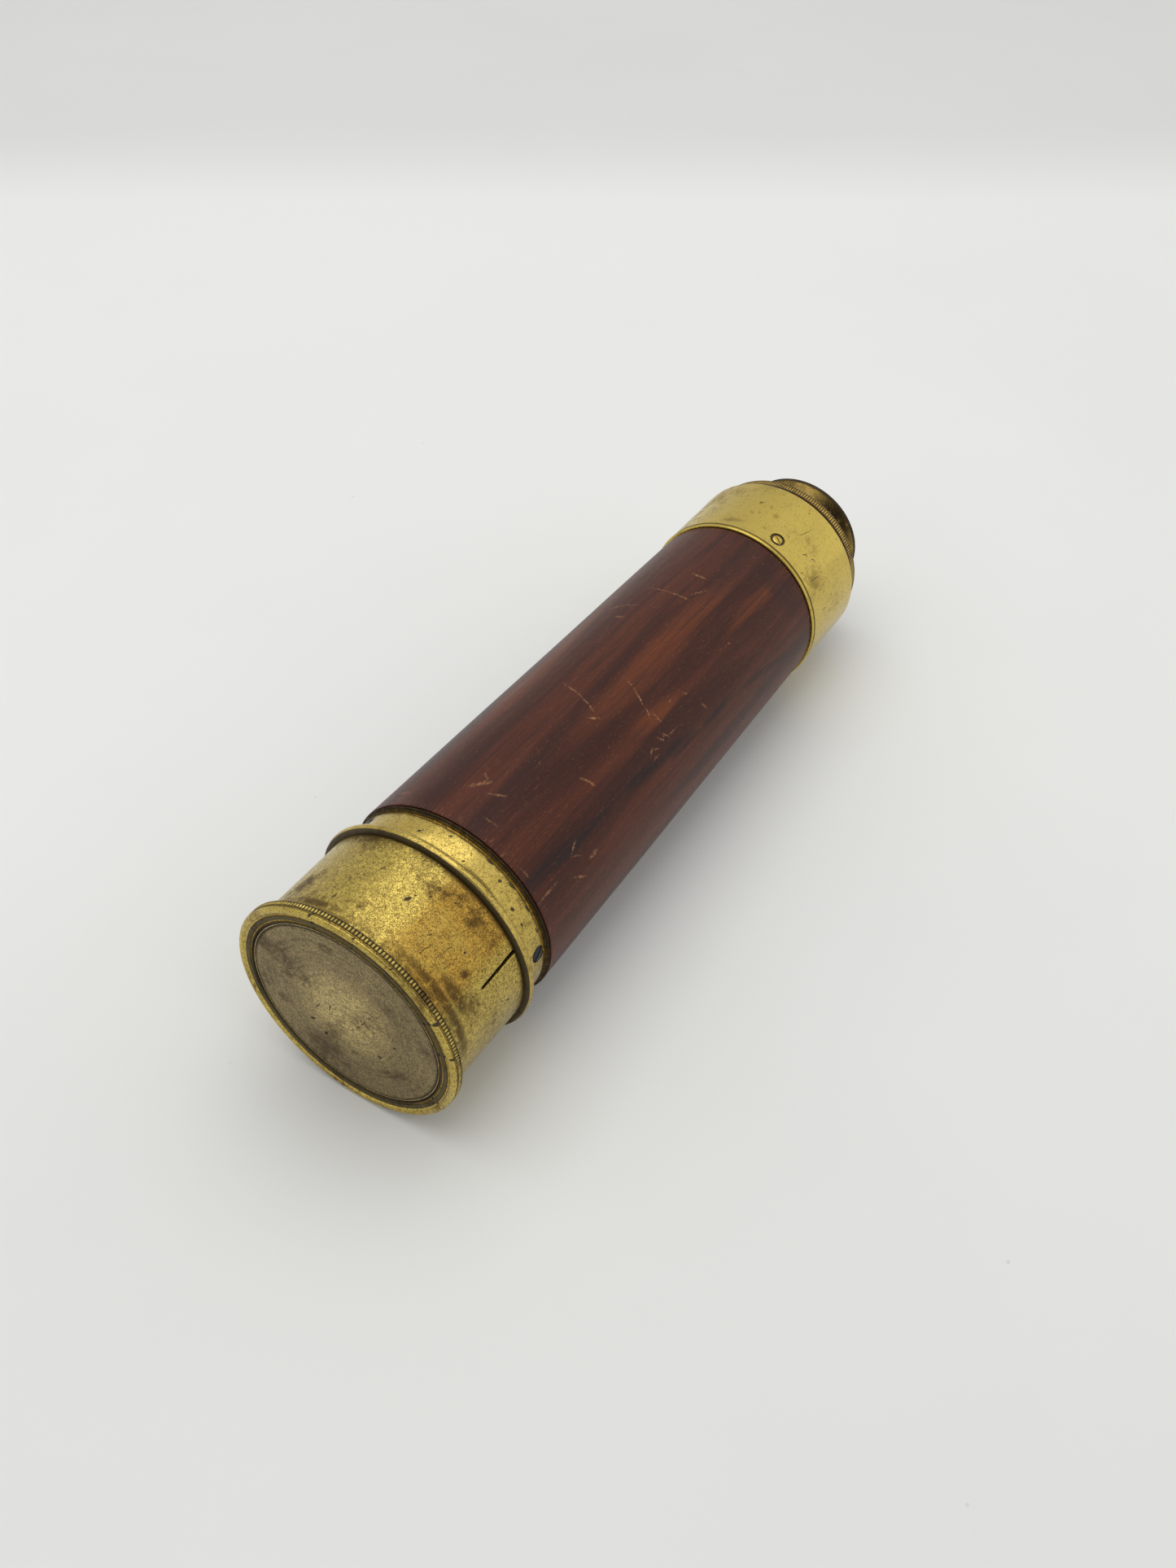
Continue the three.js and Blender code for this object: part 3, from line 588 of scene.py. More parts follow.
def arc(station, radius, size, begin, finish, steps=8):
    """Points on a round stretch of an outline. Angle 0 points backwards along the axis and 90 outwards."""
    turns = (math.radians(begin + (finish - begin) * i / steps) for i in range(steps + 1))
    return [(station + size * math.cos(t), radius + size * math.sin(t)) for t in turns]


def signed_area(points):
    following = points[1:] + points[:1]
    return sum(a[0] * b[1] - b[0] * a[1] for a, b in zip(points, following)) / 2


def softened(outline, size, fade=0.45):
    """The outline, turned so that its inside is on its right, with its corners rounded. Each point
    comes back as (station, radius, soil_and_shade, wear): hollow corners are painted dark with soiling and
    painted shade, and outer corners are worn."""
    points = list(outline)
    on_axis = points[0][1] == 0 and points[-1][1] == 0
    if signed_area(points) > 0:
        points.reverse()
    made = []
    for i, point in enumerate(points):
        if on_axis and i in (0, len(points) - 1):
            made.append((*point, 0.0, 0.0))
            continue
        here, before, after = (Vector(p) for p in (point, points[i - 1], points[(i + 1) % len(points)]))
        back, ahead = before - here, after - here
        reach = (back.length, ahead.length)
        back.normalize()
        ahead.normalize()
        turn = math.degrees(math.acos(max(-1.0, min(1.0, -back.dot(ahead)))))
        if turn < 20:
            made.append((*point, 0.0, 0.0))
            continue
        hollow = back.x * ahead.y - back.y * ahead.x > 0
        # Hollow corners get soiling and painted shade, and outer corners get wear.
        soil_and_shade, wear = (1.0, 0.0) if hollow else (0.0, 1.0)
        cut = [min(size, 0.4 * r) for r in reach]
        edge = [here + back * cut[0], here + ahead * cut[1]]
        for side, direction in ((0, back), (1, ahead)):
            steps = [(cut[side] + 0.04, 0.6), (cut[side] + fade, 0.0)]
            kept = [(here + direction * s, share) for s, share in steps if s < 0.47 * reach[side]]
            edge_points = [(*p, soil_and_shade * share, wear * share) for p, share in kept]
            if side == 0:
                made += reversed(edge_points)
                made += [(*edge[0].lerp(here, t).lerp(here.lerp(edge[1], t), t), soil_and_shade, wear)
                         for t in (0, 0.25, 0.5, 0.75, 1)]
            else:
                made += edge_points
    return made, on_axis


def linked(name, data):
    """A new object in the scene."""
    made = bpy.data.objects.new(name, data)
    bpy.context.scene.collection.objects.link(made)
    return made


def mesh_object(name, points, faces, attributes=None):
    mesh = bpy.data.meshes.new(name)
    mesh.from_pydata([tuple(p) for p in points], [], faces)
    for key, values in (attributes or {}).items():
        mesh.attributes.new(key, "FLOAT", "POINT").data.foreach_set("value", np.asarray(values, np.float32))
    mesh.shade_smooth()
    mesh.update()
    return linked(name, mesh)


def finished(piece, body, material, node):
    """Gives a piece its material and its CAD body, and hides the CAD node that it stands for."""
    piece.data.materials.clear()
    piece.data.materials.append(MATERIALS[material])
    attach(piece, body)
    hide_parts(node)


def teeth(count, depth, first, last, run_out=0.1):
    """A milled edge: rounded ridges along the axis, from one station to another. Gives a function of
    station and angle arrays that says how far in the surface goes and how dark its valleys are painted:
    soiling and painted shade."""
    def cut(stations, angles):
        lengthwise = np.clip((stations - first) / run_out, 0, 1) * np.clip((last - stations) / run_out, 0, 1)
        valley = 1 - np.abs(np.sin(count * angles / 2)) ** 1.3
        return depth * lengthwise * valley, 0.9 * lengthwise * valley
    return cut


def turned(name, outline, size=0.12, segments=SEGMENTS, milling=None, uneven=None, finest=None):
    """A piece revolved about the axis. milling and uneven change the radius where the outline faces
    outwards, and finest is the longest stretch of outline left between two rings of vertices."""
    rows, on_axis = softened(outline, size)
    if finest:
        dense = []
        for here, after in zip(rows, rows[1:] + rows[:1]):
            pieces = max(1, math.ceil(math.dist(here[:2], after[:2]) / finest))
            dense += [tuple(np.array(here) + (np.array(after) - here) * i / pieces) for i in range(pieces)]
        rows = dense
    rows = np.array(rows)
    stations, radii = (np.repeat(rows[:, k:k + 1], segments, 1) for k in (0, 1))
    soil_and_shade, wear = (np.repeat(rows[:, k:k + 1], segments, 1) for k in (2, 3))
    angles = np.repeat(np.linspace(0, 2 * np.pi, segments, endpoint=False)[None], len(rows), 0)
    if milling:
        inwards, milled_soil_and_shade = milling(stations, angles)
        radii, soil_and_shade = radii - inwards, np.maximum(soil_and_shade, milled_soil_and_shade)
    if uneven:
        radii = radii + uneven(stations, radii, angles)
    across, up = radii * np.cos(angles) * MM, radii * np.sin(angles) * MM
    xyz = np.stack([FRONT_X + stations * MM, across, AXIS_Z + up], -1)
    index = np.arange(len(rows) * segments).reshape(len(rows), segments)
    if on_axis:
        index[0], index[-1] = index[0, 0], index[-1, 0]
    below, above = (index[:-1], index[1:]) if on_axis else (index, np.roll(index, -1, 0))
    quads = np.stack([below, above, np.roll(above, -1, 1), np.roll(below, -1, 1)], -1).reshape(-1, 4)
    faces = [tuple(dict.fromkeys(q)) for q in quads.tolist()]
    piece = mesh_object(name, xyz.reshape(-1, 3), faces, {"soil_and_shade": soil_and_shade.ravel(), "wear": wear.ravel()})
    if on_axis:
        drop_loose(piece)
    return piece


def drop_loose(piece):
    """Removes the vertices that no face uses."""
    work = bmesh.new()
    work.from_mesh(piece.data)
    bmesh.ops.delete(work, geom=[v for v in work.verts if not v.link_faces], context="VERTS")
    work.to_mesh(piece.data)
    work.free()


def solid(node, outline, body, material, size=0.15, segments=192, **shape):
    """A turned piece in place of a CAD node."""
    finished(turned(f"{node}_fine", outline, size, segments, **shape), body, material, node)


def tube(node, body, material, bore, radius=None, **shape):
    """A plain tube in place of a CAD node, as long and, unless a radius is given, as wide as it is."""
    begin, finish, radius = start(node), end(node), radius or outer(node)
    outline = [(begin, bore), (begin, radius), (finish, radius), (finish, bore)]
    solid(node, outline, body, material, **shape)


def from_bmesh(name, work):
    """A new object with a bmesh's shape. The bmesh is freed."""
    mesh = bpy.data.meshes.new(name)
    work.to_mesh(mesh)
    work.free()
    return linked(name, mesh)


def slot_cutter(sides, at, lean=0.0):
    """A box with sides in millimetres about a point in metres, then turned about Z."""
    work = bmesh.new()
    bmesh.ops.create_cube(work, size=1)
    bmesh.ops.scale(work, vec=Vector(sides) * MM, verts=work.verts)
    bmesh.ops.translate(work, vec=at, verts=work.verts)
    bmesh.ops.rotate(work, matrix=Matrix.Rotation(math.radians(lean), 3, "Z"), verts=work.verts)
    return from_bmesh("slot", work)


def hole_cutter(radius, depth, frame_of_hole):
    """A cylinder about the origin of a frame and along its Z, with its sizes in millimetres."""
    work = bmesh.new()
    bmesh.ops.create_cone(work, cap_ends=True, segments=48, radius1=radius * MM, radius2=radius * MM,
                          depth=depth * MM)
    cutter = from_bmesh("hole", work)
    cutter.data.transform(frame_of_hole)
    return cutter


def cut_out(piece, *cutters):
    """Takes the cutters' shapes out of a piece, and keeps the new edges crisp."""
    bpy.context.view_layer.update()
    for cutter in cutters:
        change = piece.modifiers.new("cut", "BOOLEAN")
        change.operation, change.solver, change.object = "DIFFERENCE", "EXACT", cutter
    apply_modifiers(piece)
    for cutter in cutters:
        bpy.data.objects.remove(cutter)
    piece.data.set_sharp_from_angle(angle=math.radians(38))


def apply_modifiers(piece):
    graph = bpy.context.evaluated_depsgraph_get()
    made = bpy.data.meshes.new_from_object(piece.evaluated_get(graph))
    piece.modifiers.clear()
    piece.data = made


# ---- Dust cap ----

CAP_PITCH = 0.778
COLLAR_PITCH = 0.667


def milled(node, outline, body, material, first, last, pitch, depth, size=0.06):
    """A turned piece in place of a CAD node, milled from one station to another."""
    count = round(2 * math.pi * outer(node) / pitch)
    milling = teeth(count, depth, first, last)
    solid(node, outline, body, material, size, 6 * count, milling=milling, finest=0.5)


def make_cap():
    plate_r, rim_r, back = outer("cap_plate"), outer("cap_rim"), end("cap_rim")
    sleeve_r = outer("cap_sleeve")
    lip, cove = 0.86, 0.55
    rim = [
        (0.75, plate_r + 0.06),
        (0.22, plate_r + 0.10),
        (0.12, plate_r + 0.32),
        (0.42, plate_r + 0.42),
        (0.50, plate_r + 0.55),
        (0.24, plate_r + 0.66),
        (0.22, rim_r - 1.95),
        (0.46, rim_r - 1.85),
        (0.42, rim_r - 1.66),
        *arc(lip, rim_r - lip, lip, 222, 96, 12),
        (lip + 0.05, rim_r - 0.17),
        (lip + 0.12, rim_r - 0.17),
        (lip + 0.16, rim_r),
        (back - 0.12, rim_r),
        (back, rim_r - 0.22),
        (back, sleeve_r + cove + 0.04),
        *arc(back + cove, sleeve_r + cove + 0.05, cove, 180, 262, 6),
        (back + 0.5, sleeve_r + 0.02),
        (back - 0.7, sleeve_r + 0.02),
        (back - 0.7, plate_r - 0.7),
        (1.3, plate_r - 0.7),
        (1.3, plate_r + 0.06),
    ]
    milled("cap_rim", rim, "dust_cap", "rim", lip + 0.14, back - 0.08, CAP_PITCH, 0.34, 0.05)

    face = start("cap_plate")
    rings = ((plate_r - 0.55, 0.0), (plate_r - 0.40, 0.07), (plate_r - 0.22, 0.0))
    outline = [(face + 0.03, 0), (face + 0.02, 9.0), (face, plate_r - 1.4)]
    outline += [(face + depth, radius) for radius, depth in rings]
    back = end("cap_plate")
    outline += [(face, plate_r - 0.08), (face + 0.25, plate_r), (back, plate_r), (back, 0)]
    solid("cap_plate", outline, "dust_cap", "plate", 0.04, 384, finest=1.5)


# The slit's half width and its angle, at its round inner end and at its mouth.
SLIT = {"start": 13.9, "tip": 0.36, "mouth": 0.46, "tip_angle": 158.1, "mouth_angle": 157.3}


def make_sleeve():
    """The cap's drawn sleeve: a thin tube, sawn through from its open end so that it grips."""
    columns = 400
    begin, finish = start("cap_sleeve"), end("cap_sleeve")
    radius = outer("cap_sleeve")
    wall = 0.78
    stations = np.concatenate([
        np.linspace(begin, SLIT["start"] - 0.5, 26),
        SLIT["start"] + np.array([-0.25, 0.0, 0.02, 0.06, 0.12, 0.20, 0.30, 0.45]),
        np.linspace(SLIT["start"] + 0.7, finish, 24),
    ])
    share = np.clip((stations - SLIT["start"]) / (finish - SLIT["start"]), 0, 1)
    half = SLIT["tip"] + (SLIT["mouth"] - SLIT["tip"]) * share
    from_tip = np.clip((stations - SLIT["start"]) / SLIT["tip"], 0, 1)
    half = half * np.sqrt(np.maximum(1 - (1 - from_tip) ** 2, 0.0004))
    bases = np.radians(SLIT["tip_angle"] + (SLIT["mouth_angle"] - SLIT["tip_angle"]) * share)
    rows = []
    for station, gap, base in zip(stations, half, bases):
        edge = gap / radius
        turn = np.linspace(base + edge, base + 2 * math.pi - edge, columns)
        flare = 0.05 * math.exp(-(finish - station) / 1.5)
        rows.append([(station, angle, radius + flare) for angle in turn])
    grid = np.array(rows)
    count = grid.shape[0] * columns
    outside = np.array([place(s, r, math.degrees(a)) for s, a, r in grid.reshape(-1, 3)])
    inside = np.array([place(s, r - wall, math.degrees(a)) for s, a, r in grid.reshape(-1, 3)])
    index = np.arange(count).reshape(grid.shape[:2])
    faces = []
    for i in range(len(stations) - 1):
        closed = stations[i + 1] <= SLIT["start"] + 1e-6
        for j in range(columns if closed else columns - 1):
            k = (j + 1) % columns
            faces.append((index[i, j], index[i, k], index[i + 1, k], index[i + 1, j]))
    uses = {}
    for face in faces:
        for a, b in zip(face, face[1:] + face[:1]):
            uses[(int(a), int(b))] = True
    inner = [tuple(int(v) + count for v in reversed(face)) for face in faces]
    walls = [(b, a, a + count, b + count) for a, b in uses if (b, a) not in uses]
    faces = [tuple(int(v) for v in face) for face in faces]
    soil_and_shade, wear = np.zeros(2 * count), np.zeros(2 * count)
    # The whole inside is painted dark: painted shade inside the sleeve, seen through the slit.
    soil_and_shade[count:] = 1.0
    sawn = index[stations > SLIT["start"] - 0.01]
    wear[sawn[:, 0]] = 0.9
    wear[sawn[:, -1]] = 0.4
    piece = mesh_object("cap_sleeve_fine", np.concatenate([outside, inside]), faces + inner + walls,
                        {"soil_and_shade": soil_and_shade, "wear": wear})
    bevel = piece.modifiers.new("edges", "BEVEL")
    bevel.width, bevel.segments, bevel.limit_method = 0.07 * MM, 2, "ANGLE"
    bevel.angle_limit = math.radians(50)
    piece.modifiers.new("normals", "WEIGHTED_NORMAL")
    finished(piece, "dust_cap", "sleeve", "cap_sleeve")


# ---- Screws ----


def screw_frame(node, radius):
    """Where a screw's CAD node passes a radius about the axis, with Z pointing straight outwards."""
    low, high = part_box(node)
    middle = (low + high) / 2
    angle = math.degrees(math.atan2(middle.z - AXIS_Z, middle.y)) % 360
    outwards = (place(0, 1, angle) - place(0, 0, angle)).normalized()
    upright = outwards.to_track_quat("Z", "X").to_matrix().to_4x4()
    return Matrix.Translation(place((middle.x - FRONT_X) / MM, radius, angle)) @ upright


def screw(node, surface, lean, material, sink, head, dome, button=None):
    """A slotted countersunk screw, sunk a little below a turned surface.

    head is its radius, dome is how far its middle stands up and lean is how far its slot is turned. A button
    is the radius of a raised middle. What lies beyond the middle or sunk in the hole is painted dark: packed
    soiling, and painted shade in the hole.
    """
    shank = 0.7
    middle = button or head
    side = [(0, dome), (middle * 0.4, dome * 0.92), (middle * 0.75, dome * 0.6), (middle, 0)]
    if button:
        side += [(button + 0.08, -0.22), (head, -0.16)]
    side += [(head - 0.05, -0.30), (shank, -head + 0.3)]
    profile, _ = softened([(-z, r) for r, z in side] + [(2.6, shank), (2.6, 0)], 0.05, 0.2)
    segments = 48
    rows = [[(r * math.cos(2 * math.pi * j / segments), r * math.sin(2 * math.pi * j / segments), -z)
             for j in range(segments)] for z, r, _, _ in profile]
    points = [p for row in rows for p in row]
    index = np.arange(len(points)).reshape(len(rows), segments)
    index[0], index[-1] = index[0, 0], index[-1, 0]
    quads = np.stack([index[:-1], index[1:], np.roll(index[1:], -1, 1), np.roll(index[:-1], -1, 1)], -1)
    faces = [tuple(dict.fromkeys(q)) for q in quads.reshape(-1, 4).tolist()]
    faces = [f for f in faces if len(f) > 2]
    wear = np.repeat([row[3] for row in profile], segments)
    # Painted dark beyond the middle and down in the hole: soiling and painted shade.
    soil_and_shade = np.repeat([float(r > middle + 0.02 or z > 0.12) for z, r, _, _ in profile], segments)
    attributes = {"soil_and_shade": soil_and_shade, "wear": wear * (1 - soil_and_shade)}
    piece = mesh_object(f"{node}_fine", np.array(points) * MM, faces, attributes)
    drop_loose(piece)
    cut_out(piece, slot_cutter((0.42, 2.2 * middle, 0.9), (0, 0, dome * MM), lean))
    piece.data.transform(screw_frame(node, surface - sink))
    finished(piece, "barrel", material, node)


def screwed(node, outline, material, surface, name, leans, screws, **shape):
    """A turned piece in place of a CAD node, with its three screws let into its surface."""
    piece = turned(f"{node}_fine", outline, 0.05, 384, **shape)
    nodes = [f"{name}_{i}" for i in (1, 2, 3)]
    cut_out(piece, *[hole_cutter(screws["head"] + 0.12, 3.0, screw_frame(n, surface + 0.5)) for n in nodes])
    finished(piece, "barrel", material, node)
    for each, lean in zip(nodes, leans):
        screw(each, surface, lean, **screws)


# ---- Objective ----

BEAD_STATION = 25.7


def fall(radius, curve):
    """How far a lens face falls away from its vertex at a radius."""
    return curve - math.sqrt(curve * curve - radius * radius)


def lens_face(vertex, curve, radius, steps=10):
    """The outline of a lens face from its vertex outwards. A face with a negative curve is centred in
    front."""
    sign = 1 if curve > 0 else -1
    radii = [radius * i / steps for i in range(steps + 1)]
    return [(vertex + sign * fall(r, abs(curve)), r) for r in radii]


def make_objective():
    bead_r, lens_r = outer("objective_cell"), outer("objective_crown_lens")
    begin, finish = start("objective_cell"), end("objective_cell")
    bead = BEAD_STATION
    cell = [
        (begin, 21.6), (begin, 23.2), (bead - 1.05, 23.2),
        *arc(bead, bead_r - 1.02, 1.02, 183, -3, 16),
        (bead + 1.05, 22.6), (bead + 1.05, 20.5), (finish, 20.5), (finish, 19.2), (17.8, 19.2), (17.8, 21.6),
    ]

    def cell_soil_and_shade(stations, angles):
        """The cell is painted nearly black where the cap's sleeve hides it and on both flanks of the bead:
        tarnished brass, and painted shade in the gaps on either side of the bead.
        """
        milled_soil_and_shade = np.interp(stations, (24.9, 25.15, 26.35, 26.6), (1.0, 0.0, 0.0, 0.8))
        return np.zeros_like(stations), milled_soil_and_shade

    solid("objective_cell", cell, "barrel", "collar", 0.06, 320, milling=cell_soil_and_shade, finest=0.4)

    vertex, back, curve = start("objective_crown_lens"), end("objective_crown_lens"), 110
    crown = lens_face(vertex, curve, lens_r) + lens_face(back, -curve, lens_r)[::-1]
    solid("objective_crown_lens", crown, "barrel", "glass", segments=128)
    flint_back = end("objective_flint_lens")
    flint = lens_face(back + 0.4, -curve, lens_r) + [(flint_back, lens_r), (flint_back, 0)]
    solid("objective_flint_lens", flint, "barrel", "glass", segments=128)
    tube("objective_retaining_ring", "barrel", "black", 20.0, size=0.2)

    begin, finish, lip = start("objective_collar"), end("objective_collar"), outer("objective_collar")
    band = 23.3
    collar = [
        (begin, 20.6), (begin, band - 0.55),
        *arc(begin + 0.35, band - 0.55, 0.32, 180, 30, 6),
        (begin + 0.85, band - 0.50),
        (begin + 1.0, band - 0.42),
        *[(begin + 1.0 + 1.1 * t, band - 0.42 + 0.42 * math.sin(t * math.pi / 2)) for t in (0.3, 0.6, 1.0)],
        (32.8, band), (32.95, band - 0.5), (33.40, band - 0.5), (33.42, band + 0.14), (33.68, band + 0.16),
        (33.72, band - 0.38), (33.88, band - 0.38), (33.90, lip - 0.12), (33.98, lip), (finish - 0.06, lip),
        (finish, lip - 0.1), (finish, 22.1), (29.3, 22.1), (29.3, 20.6),
    ]
    screws = {"material": "steel", "sink": 0.12, "head": 1.74, "dome": 0.22}
    screwed("objective_collar", collar, "collar", band, "collar_screw", (35, 100, 65), screws, finest=1.2)


# ---- Barrel ----


def dents(seed, count, depth, low, high):
    """Shallow knocks and a slow unevenness, as hand work and use leave them."""
    rng = random.Random(seed)
    ranges = ((low, high), (0, 2 * math.pi), (1.2, 3.5), (0.4, 1.0))
    spots = [[rng.uniform(*limits) for limits in ranges] for _ in range(count)]

    def push(stations, radii, angles):
        wave = np.sin(stations * 0.11 + 2 * angles + seed) + np.sin(stations * 0.07 - 3 * angles)
        wave = 0.35 * depth * wave
        for at, turn, size, share in spots:
            apart = (angles - turn + math.pi) % (2 * math.pi) - math.pi
            squared = ((stations - at) ** 2 + (apart * radii) ** 2) / size ** 2
            wave = wave - share * depth * np.exp(-squared)
        return wave * np.clip((stations - low) / 2, 0, 1) * np.clip((high - stations) / 2, 0, 1)
    return push


def make_barrel():
    begin, finish = 34.4, 149.6
    front_r, end_r = 24.1, 21.75
    wood = [
        (start("wooden_barrel"), 18.6), (start("wooden_barrel"), 22.0), (begin, 22.0), (begin, front_r),
        (finish, end_r), (finish, 20.9), (end("wooden_barrel"), 20.9), (end("wooden_barrel"), 18.6),
    ]
    knocked = dents(5, 60, 0.05, begin, finish)
    solid("wooden_barrel", wood, "barrel", "wood", 0.22, 384, uneven=knocked, finest=1.2)
    tube("barrel_stop", "barrel", "black", 14.5)

    begin, finish, radius = start("draw_ferrule"), end("draw_ferrule"), outer("draw_ferrule")
    ferrule = [
        (begin, 21.0), *arc(begin + 0.36, radius - 0.26, 0.36, 180, 0, 10), (begin + 0.76, radius - 0.26),
        (begin + 1.00, radius - 0.26), (begin + 1.08, radius),
        (finish - 0.72, radius),
        *arc(finish - 0.72, radius - 0.7, 0.7, 88, 8, 8),
        (finish, radius - 0.8), (finish, 19.2), (finish - 2.4, 19.2), (finish - 2.4, 21.0),
    ]
    knocked = dents(11, 14, 0.035, begin + 1.2, finish - 1.2)
    screws = {"material": "ferrule", "sink": 0.06, "head": 1.78, "dome": 0.16, "button": 1.2}
    screwed("draw_ferrule", ferrule, "ferrule", radius, "ferrule_screw", (60, 10, 130), screws,
            uneven=knocked, finest=0.9)


# ---- Draws ----

WALL = 0.6
SLIDE_GAP = 0.15
COLLARS = (
    {"sleeve": 18.45, "shoulder": 171.7, "neck": 19.9, "flange": 173.3},
    {"sleeve": 16.9, "shoulder": 176.05, "neck": 17.6, "flange": 176.25},
    {"sleeve": 14.9, "shoulder": 178.05, "neck": 16.0, "flange": 178.25},
)


def make_draws():
    carriers = ("barrel", "draw_1", "draw_2")
    for i, (carrier, sizes) in enumerate(zip(carriers, COLLARS), 1):
        collar, draw = f"guide_collar_{i}", f"draw_tube_{i}"
        draw_r = outer(draw)
        bore = draw_r + SLIDE_GAP
        radius, finish, flange = outer(collar), end(collar), sizes["flange"]
        outline = [
            (start(collar), bore), (start(collar), sizes["sleeve"]), (sizes["shoulder"], sizes["sleeve"]),
            (sizes["shoulder"], sizes["neck"]), (flange, sizes["neck"]), (flange, radius - 0.1),
            (flange + 0.12, radius), (finish - 0.35, radius),
            *arc(finish - 0.35, radius - 0.38, 0.35, 80, 10, 4),
            (finish, radius - 0.45), (finish, bore + 0.25), (finish - 0.25, bore),
        ]
        milled(collar, outline, carrier, "ring", flange + 0.08, finish - 0.3, COLLAR_PITCH, 0.18)
        tube(draw, f"draw_{i}", "tube", draw_r - WALL, segments=256, finest=6.0)
        tube(f"draw_{i}_stop_ring", f"draw_{i}", "black", draw_r + 0.1, size=0.25)


def make_optics():
    """The erector and eyepiece that the last draw carries."""
    seat, curve = 12.0, 36.0
    for node in ("erector_tube", "eyepiece_tube"):
        tube(node, "draw_3", "tube", seat + 0.1, finest=8.0)
    for lens in ("erector_lens_front", "erector_lens_rear", "field_lens", "eye_lens"):
        domed_back = lens == "erector_lens_rear"
        vertex, flat = (end(lens), start(lens)) if domed_back else (start(lens), end(lens))
        face = lens_face(vertex, -curve if domed_back else curve, seat)
        solid(lens, face + [(flat, seat), (flat, 0)], "draw_3", "glass", 0.12, 96)
    rings = ("erector_ring_front", "erector_ring_rear", "field_lens_ring", "eye_lens_ring")
    holes = {**dict.fromkeys(rings, 10.4), "erector_stop": 4.0, "field_stop": 8.5}
    for node, hole in holes.items():
        tube(node, "draw_3", "black", hole, seat, size=0.12, segments=144)


# ---- Eye cup and shutter ----

PIVOT_DROP = 7.4


def make_eye_end():
    begin, finish, radius = 180.4, end("eye_cup"), outer("eye_cup")
    neck, neck_end, rim = 14.0, 182.0, 185.2
    plate_front, plate_back = 183.2, 184.3
    shares = [i / 10 for i in range(11)]
    flare = [(neck_end + (rim - neck_end) * t, neck + (radius - 0.1 - neck) * (1 - math.cos(t * math.pi / 2)))
             for t in shares]
    cup = [
        (start("eye_cup"), 12.0), (start("eye_cup"), 12.9), (begin, 12.9),
        (begin, 14.6), (begin + 0.15, 14.7), (begin + 0.65, 14.7), (begin + 0.8, 14.55),
        (begin + 0.8, neck + 0.1), (begin + 1.1, neck),
        *flare,
        (rim + 0.08, radius), (finish - 0.25, radius),
        *arc(finish - 0.3, radius - 0.32, 0.3, 80, 0, 5),
        (finish, 13.3), *arc(finish - 0.35, 13.2, 0.35, 0, -90, 4), (plate_back + 0.3, 12.9),
        *arc(plate_back + 0.3, 12.6, 0.3, 90, 180, 4),
        (plate_back, 3.7), (plate_back - 0.5, 3.0), (plate_front, 3.0), (plate_front, 12.0),
    ]
    milled("eye_cup", cup, "draw_3", "cup", rim + 0.06, finish - 0.22, COLLAR_PITCH, 0.16)

    front, back = start("eye_shutter"), end("eye_shutter")
    shutter = flat_plate("eye_shutter_fine", front, back - front, 4.4, 2.6)
    finished(shutter, "shutter", "ring", "eye_shutter")
    knob = [(0, 0), (0, 0.6), (0.4, 0.55), *arc(0.68, 0.5, 0.4, 150, 0, 8), (1.0, 0.3), (1.05, 0)]
    off_axis("shutter_knob", knob, start("shutter_knob") - 0.1, 2.8, "shutter", "collar")
    screw_start = start("shutter_screw")
    head = end("shutter_screw") - screw_start
    outline = [(0, 0), (0, 0.8), (head - 0.7, 0.8), (head - 0.7, 1.45), (head - 0.25, 1.5),
               (head - 0.05, 1.1), (head, 0)]
    off_axis("shutter_screw", outline, screw_start, -PIVOT_DROP, "draw_3", "steel", slot=head)


def off_axis(node, outline, station, lift, body, material, slot=None):
    """A small turned piece whose own axis lies above or below the optical axis. slot is how far behind
    its front end a screwdriver's slot is."""
    piece = turned(f"{node}_fine", outline, 0.08, 64)
    if slot is not None:
        cut_out(piece, slot_cutter((0.6, 0.4, 6), (FRONT_X + slot * MM, 0, AXIS_Z)))
    piece.data.transform(Matrix.Translation(Vector((station, 0, lift)) * MM))
    finished(piece, body, material, node)


def flat_plate(name, front, thickness, cover, boss):
    """The shutter: a round cover and a smaller boss about the pivot, joined by tangents."""
    spread = math.acos((cover - boss) / PIVOT_DROP)
    down = -math.pi / 2
    points = []
    for radius, lift, begin, finish in ((cover, 0, down + spread, down - spread + 2 * math.pi),
                                        (boss, -PIVOT_DROP, down - spread, down + spread)):
        turns = np.linspace(begin, finish, 40)
        points += [(radius * math.cos(t), lift + radius * math.sin(t)) for t in turns]
    work = bmesh.new()
    corners = [work.verts.new((FRONT_X + front * MM, y * MM, AXIS_Z + z * MM)) for y, z in points]
    face = work.faces.new(corners)
    moved = bmesh.ops.extrude_face_region(work, geom=[face])["geom"]
    top = [v for v in moved if isinstance(v, bmesh.types.BMVert)]
    bmesh.ops.translate(work, vec=(thickness * MM, 0, 0), verts=top)
    bmesh.ops.recalc_face_normals(work, faces=work.faces)
    edges = [e for e in work.edges if len(e.link_faces) == 2 and e.calc_face_angle() > math.radians(60)]
    bmesh.ops.bevel(work, geom=edges, offset=0.18 * MM, segments=3, profile=0.5, affect="EDGES")
    piece = from_bmesh(name, work)
    for key in ("soil_and_shade", "wear"):
        piece.data.attributes.new(key, "FLOAT", "POINT")
    piece.data.shade_smooth()
    pivot = Matrix.Translation(Vector((FRONT_X + front * MM, 0, AXIS_Z - PIVOT_DROP * MM)))
    cut_out(piece, hole_cutter(0.9, 4, pivot @ Matrix.Rotation(math.pi / 2, 4, "Y")))
    return piece


make_cap()
make_sleeve()
make_objective()
make_barrel()
make_draws()
make_optics()
make_eye_end()

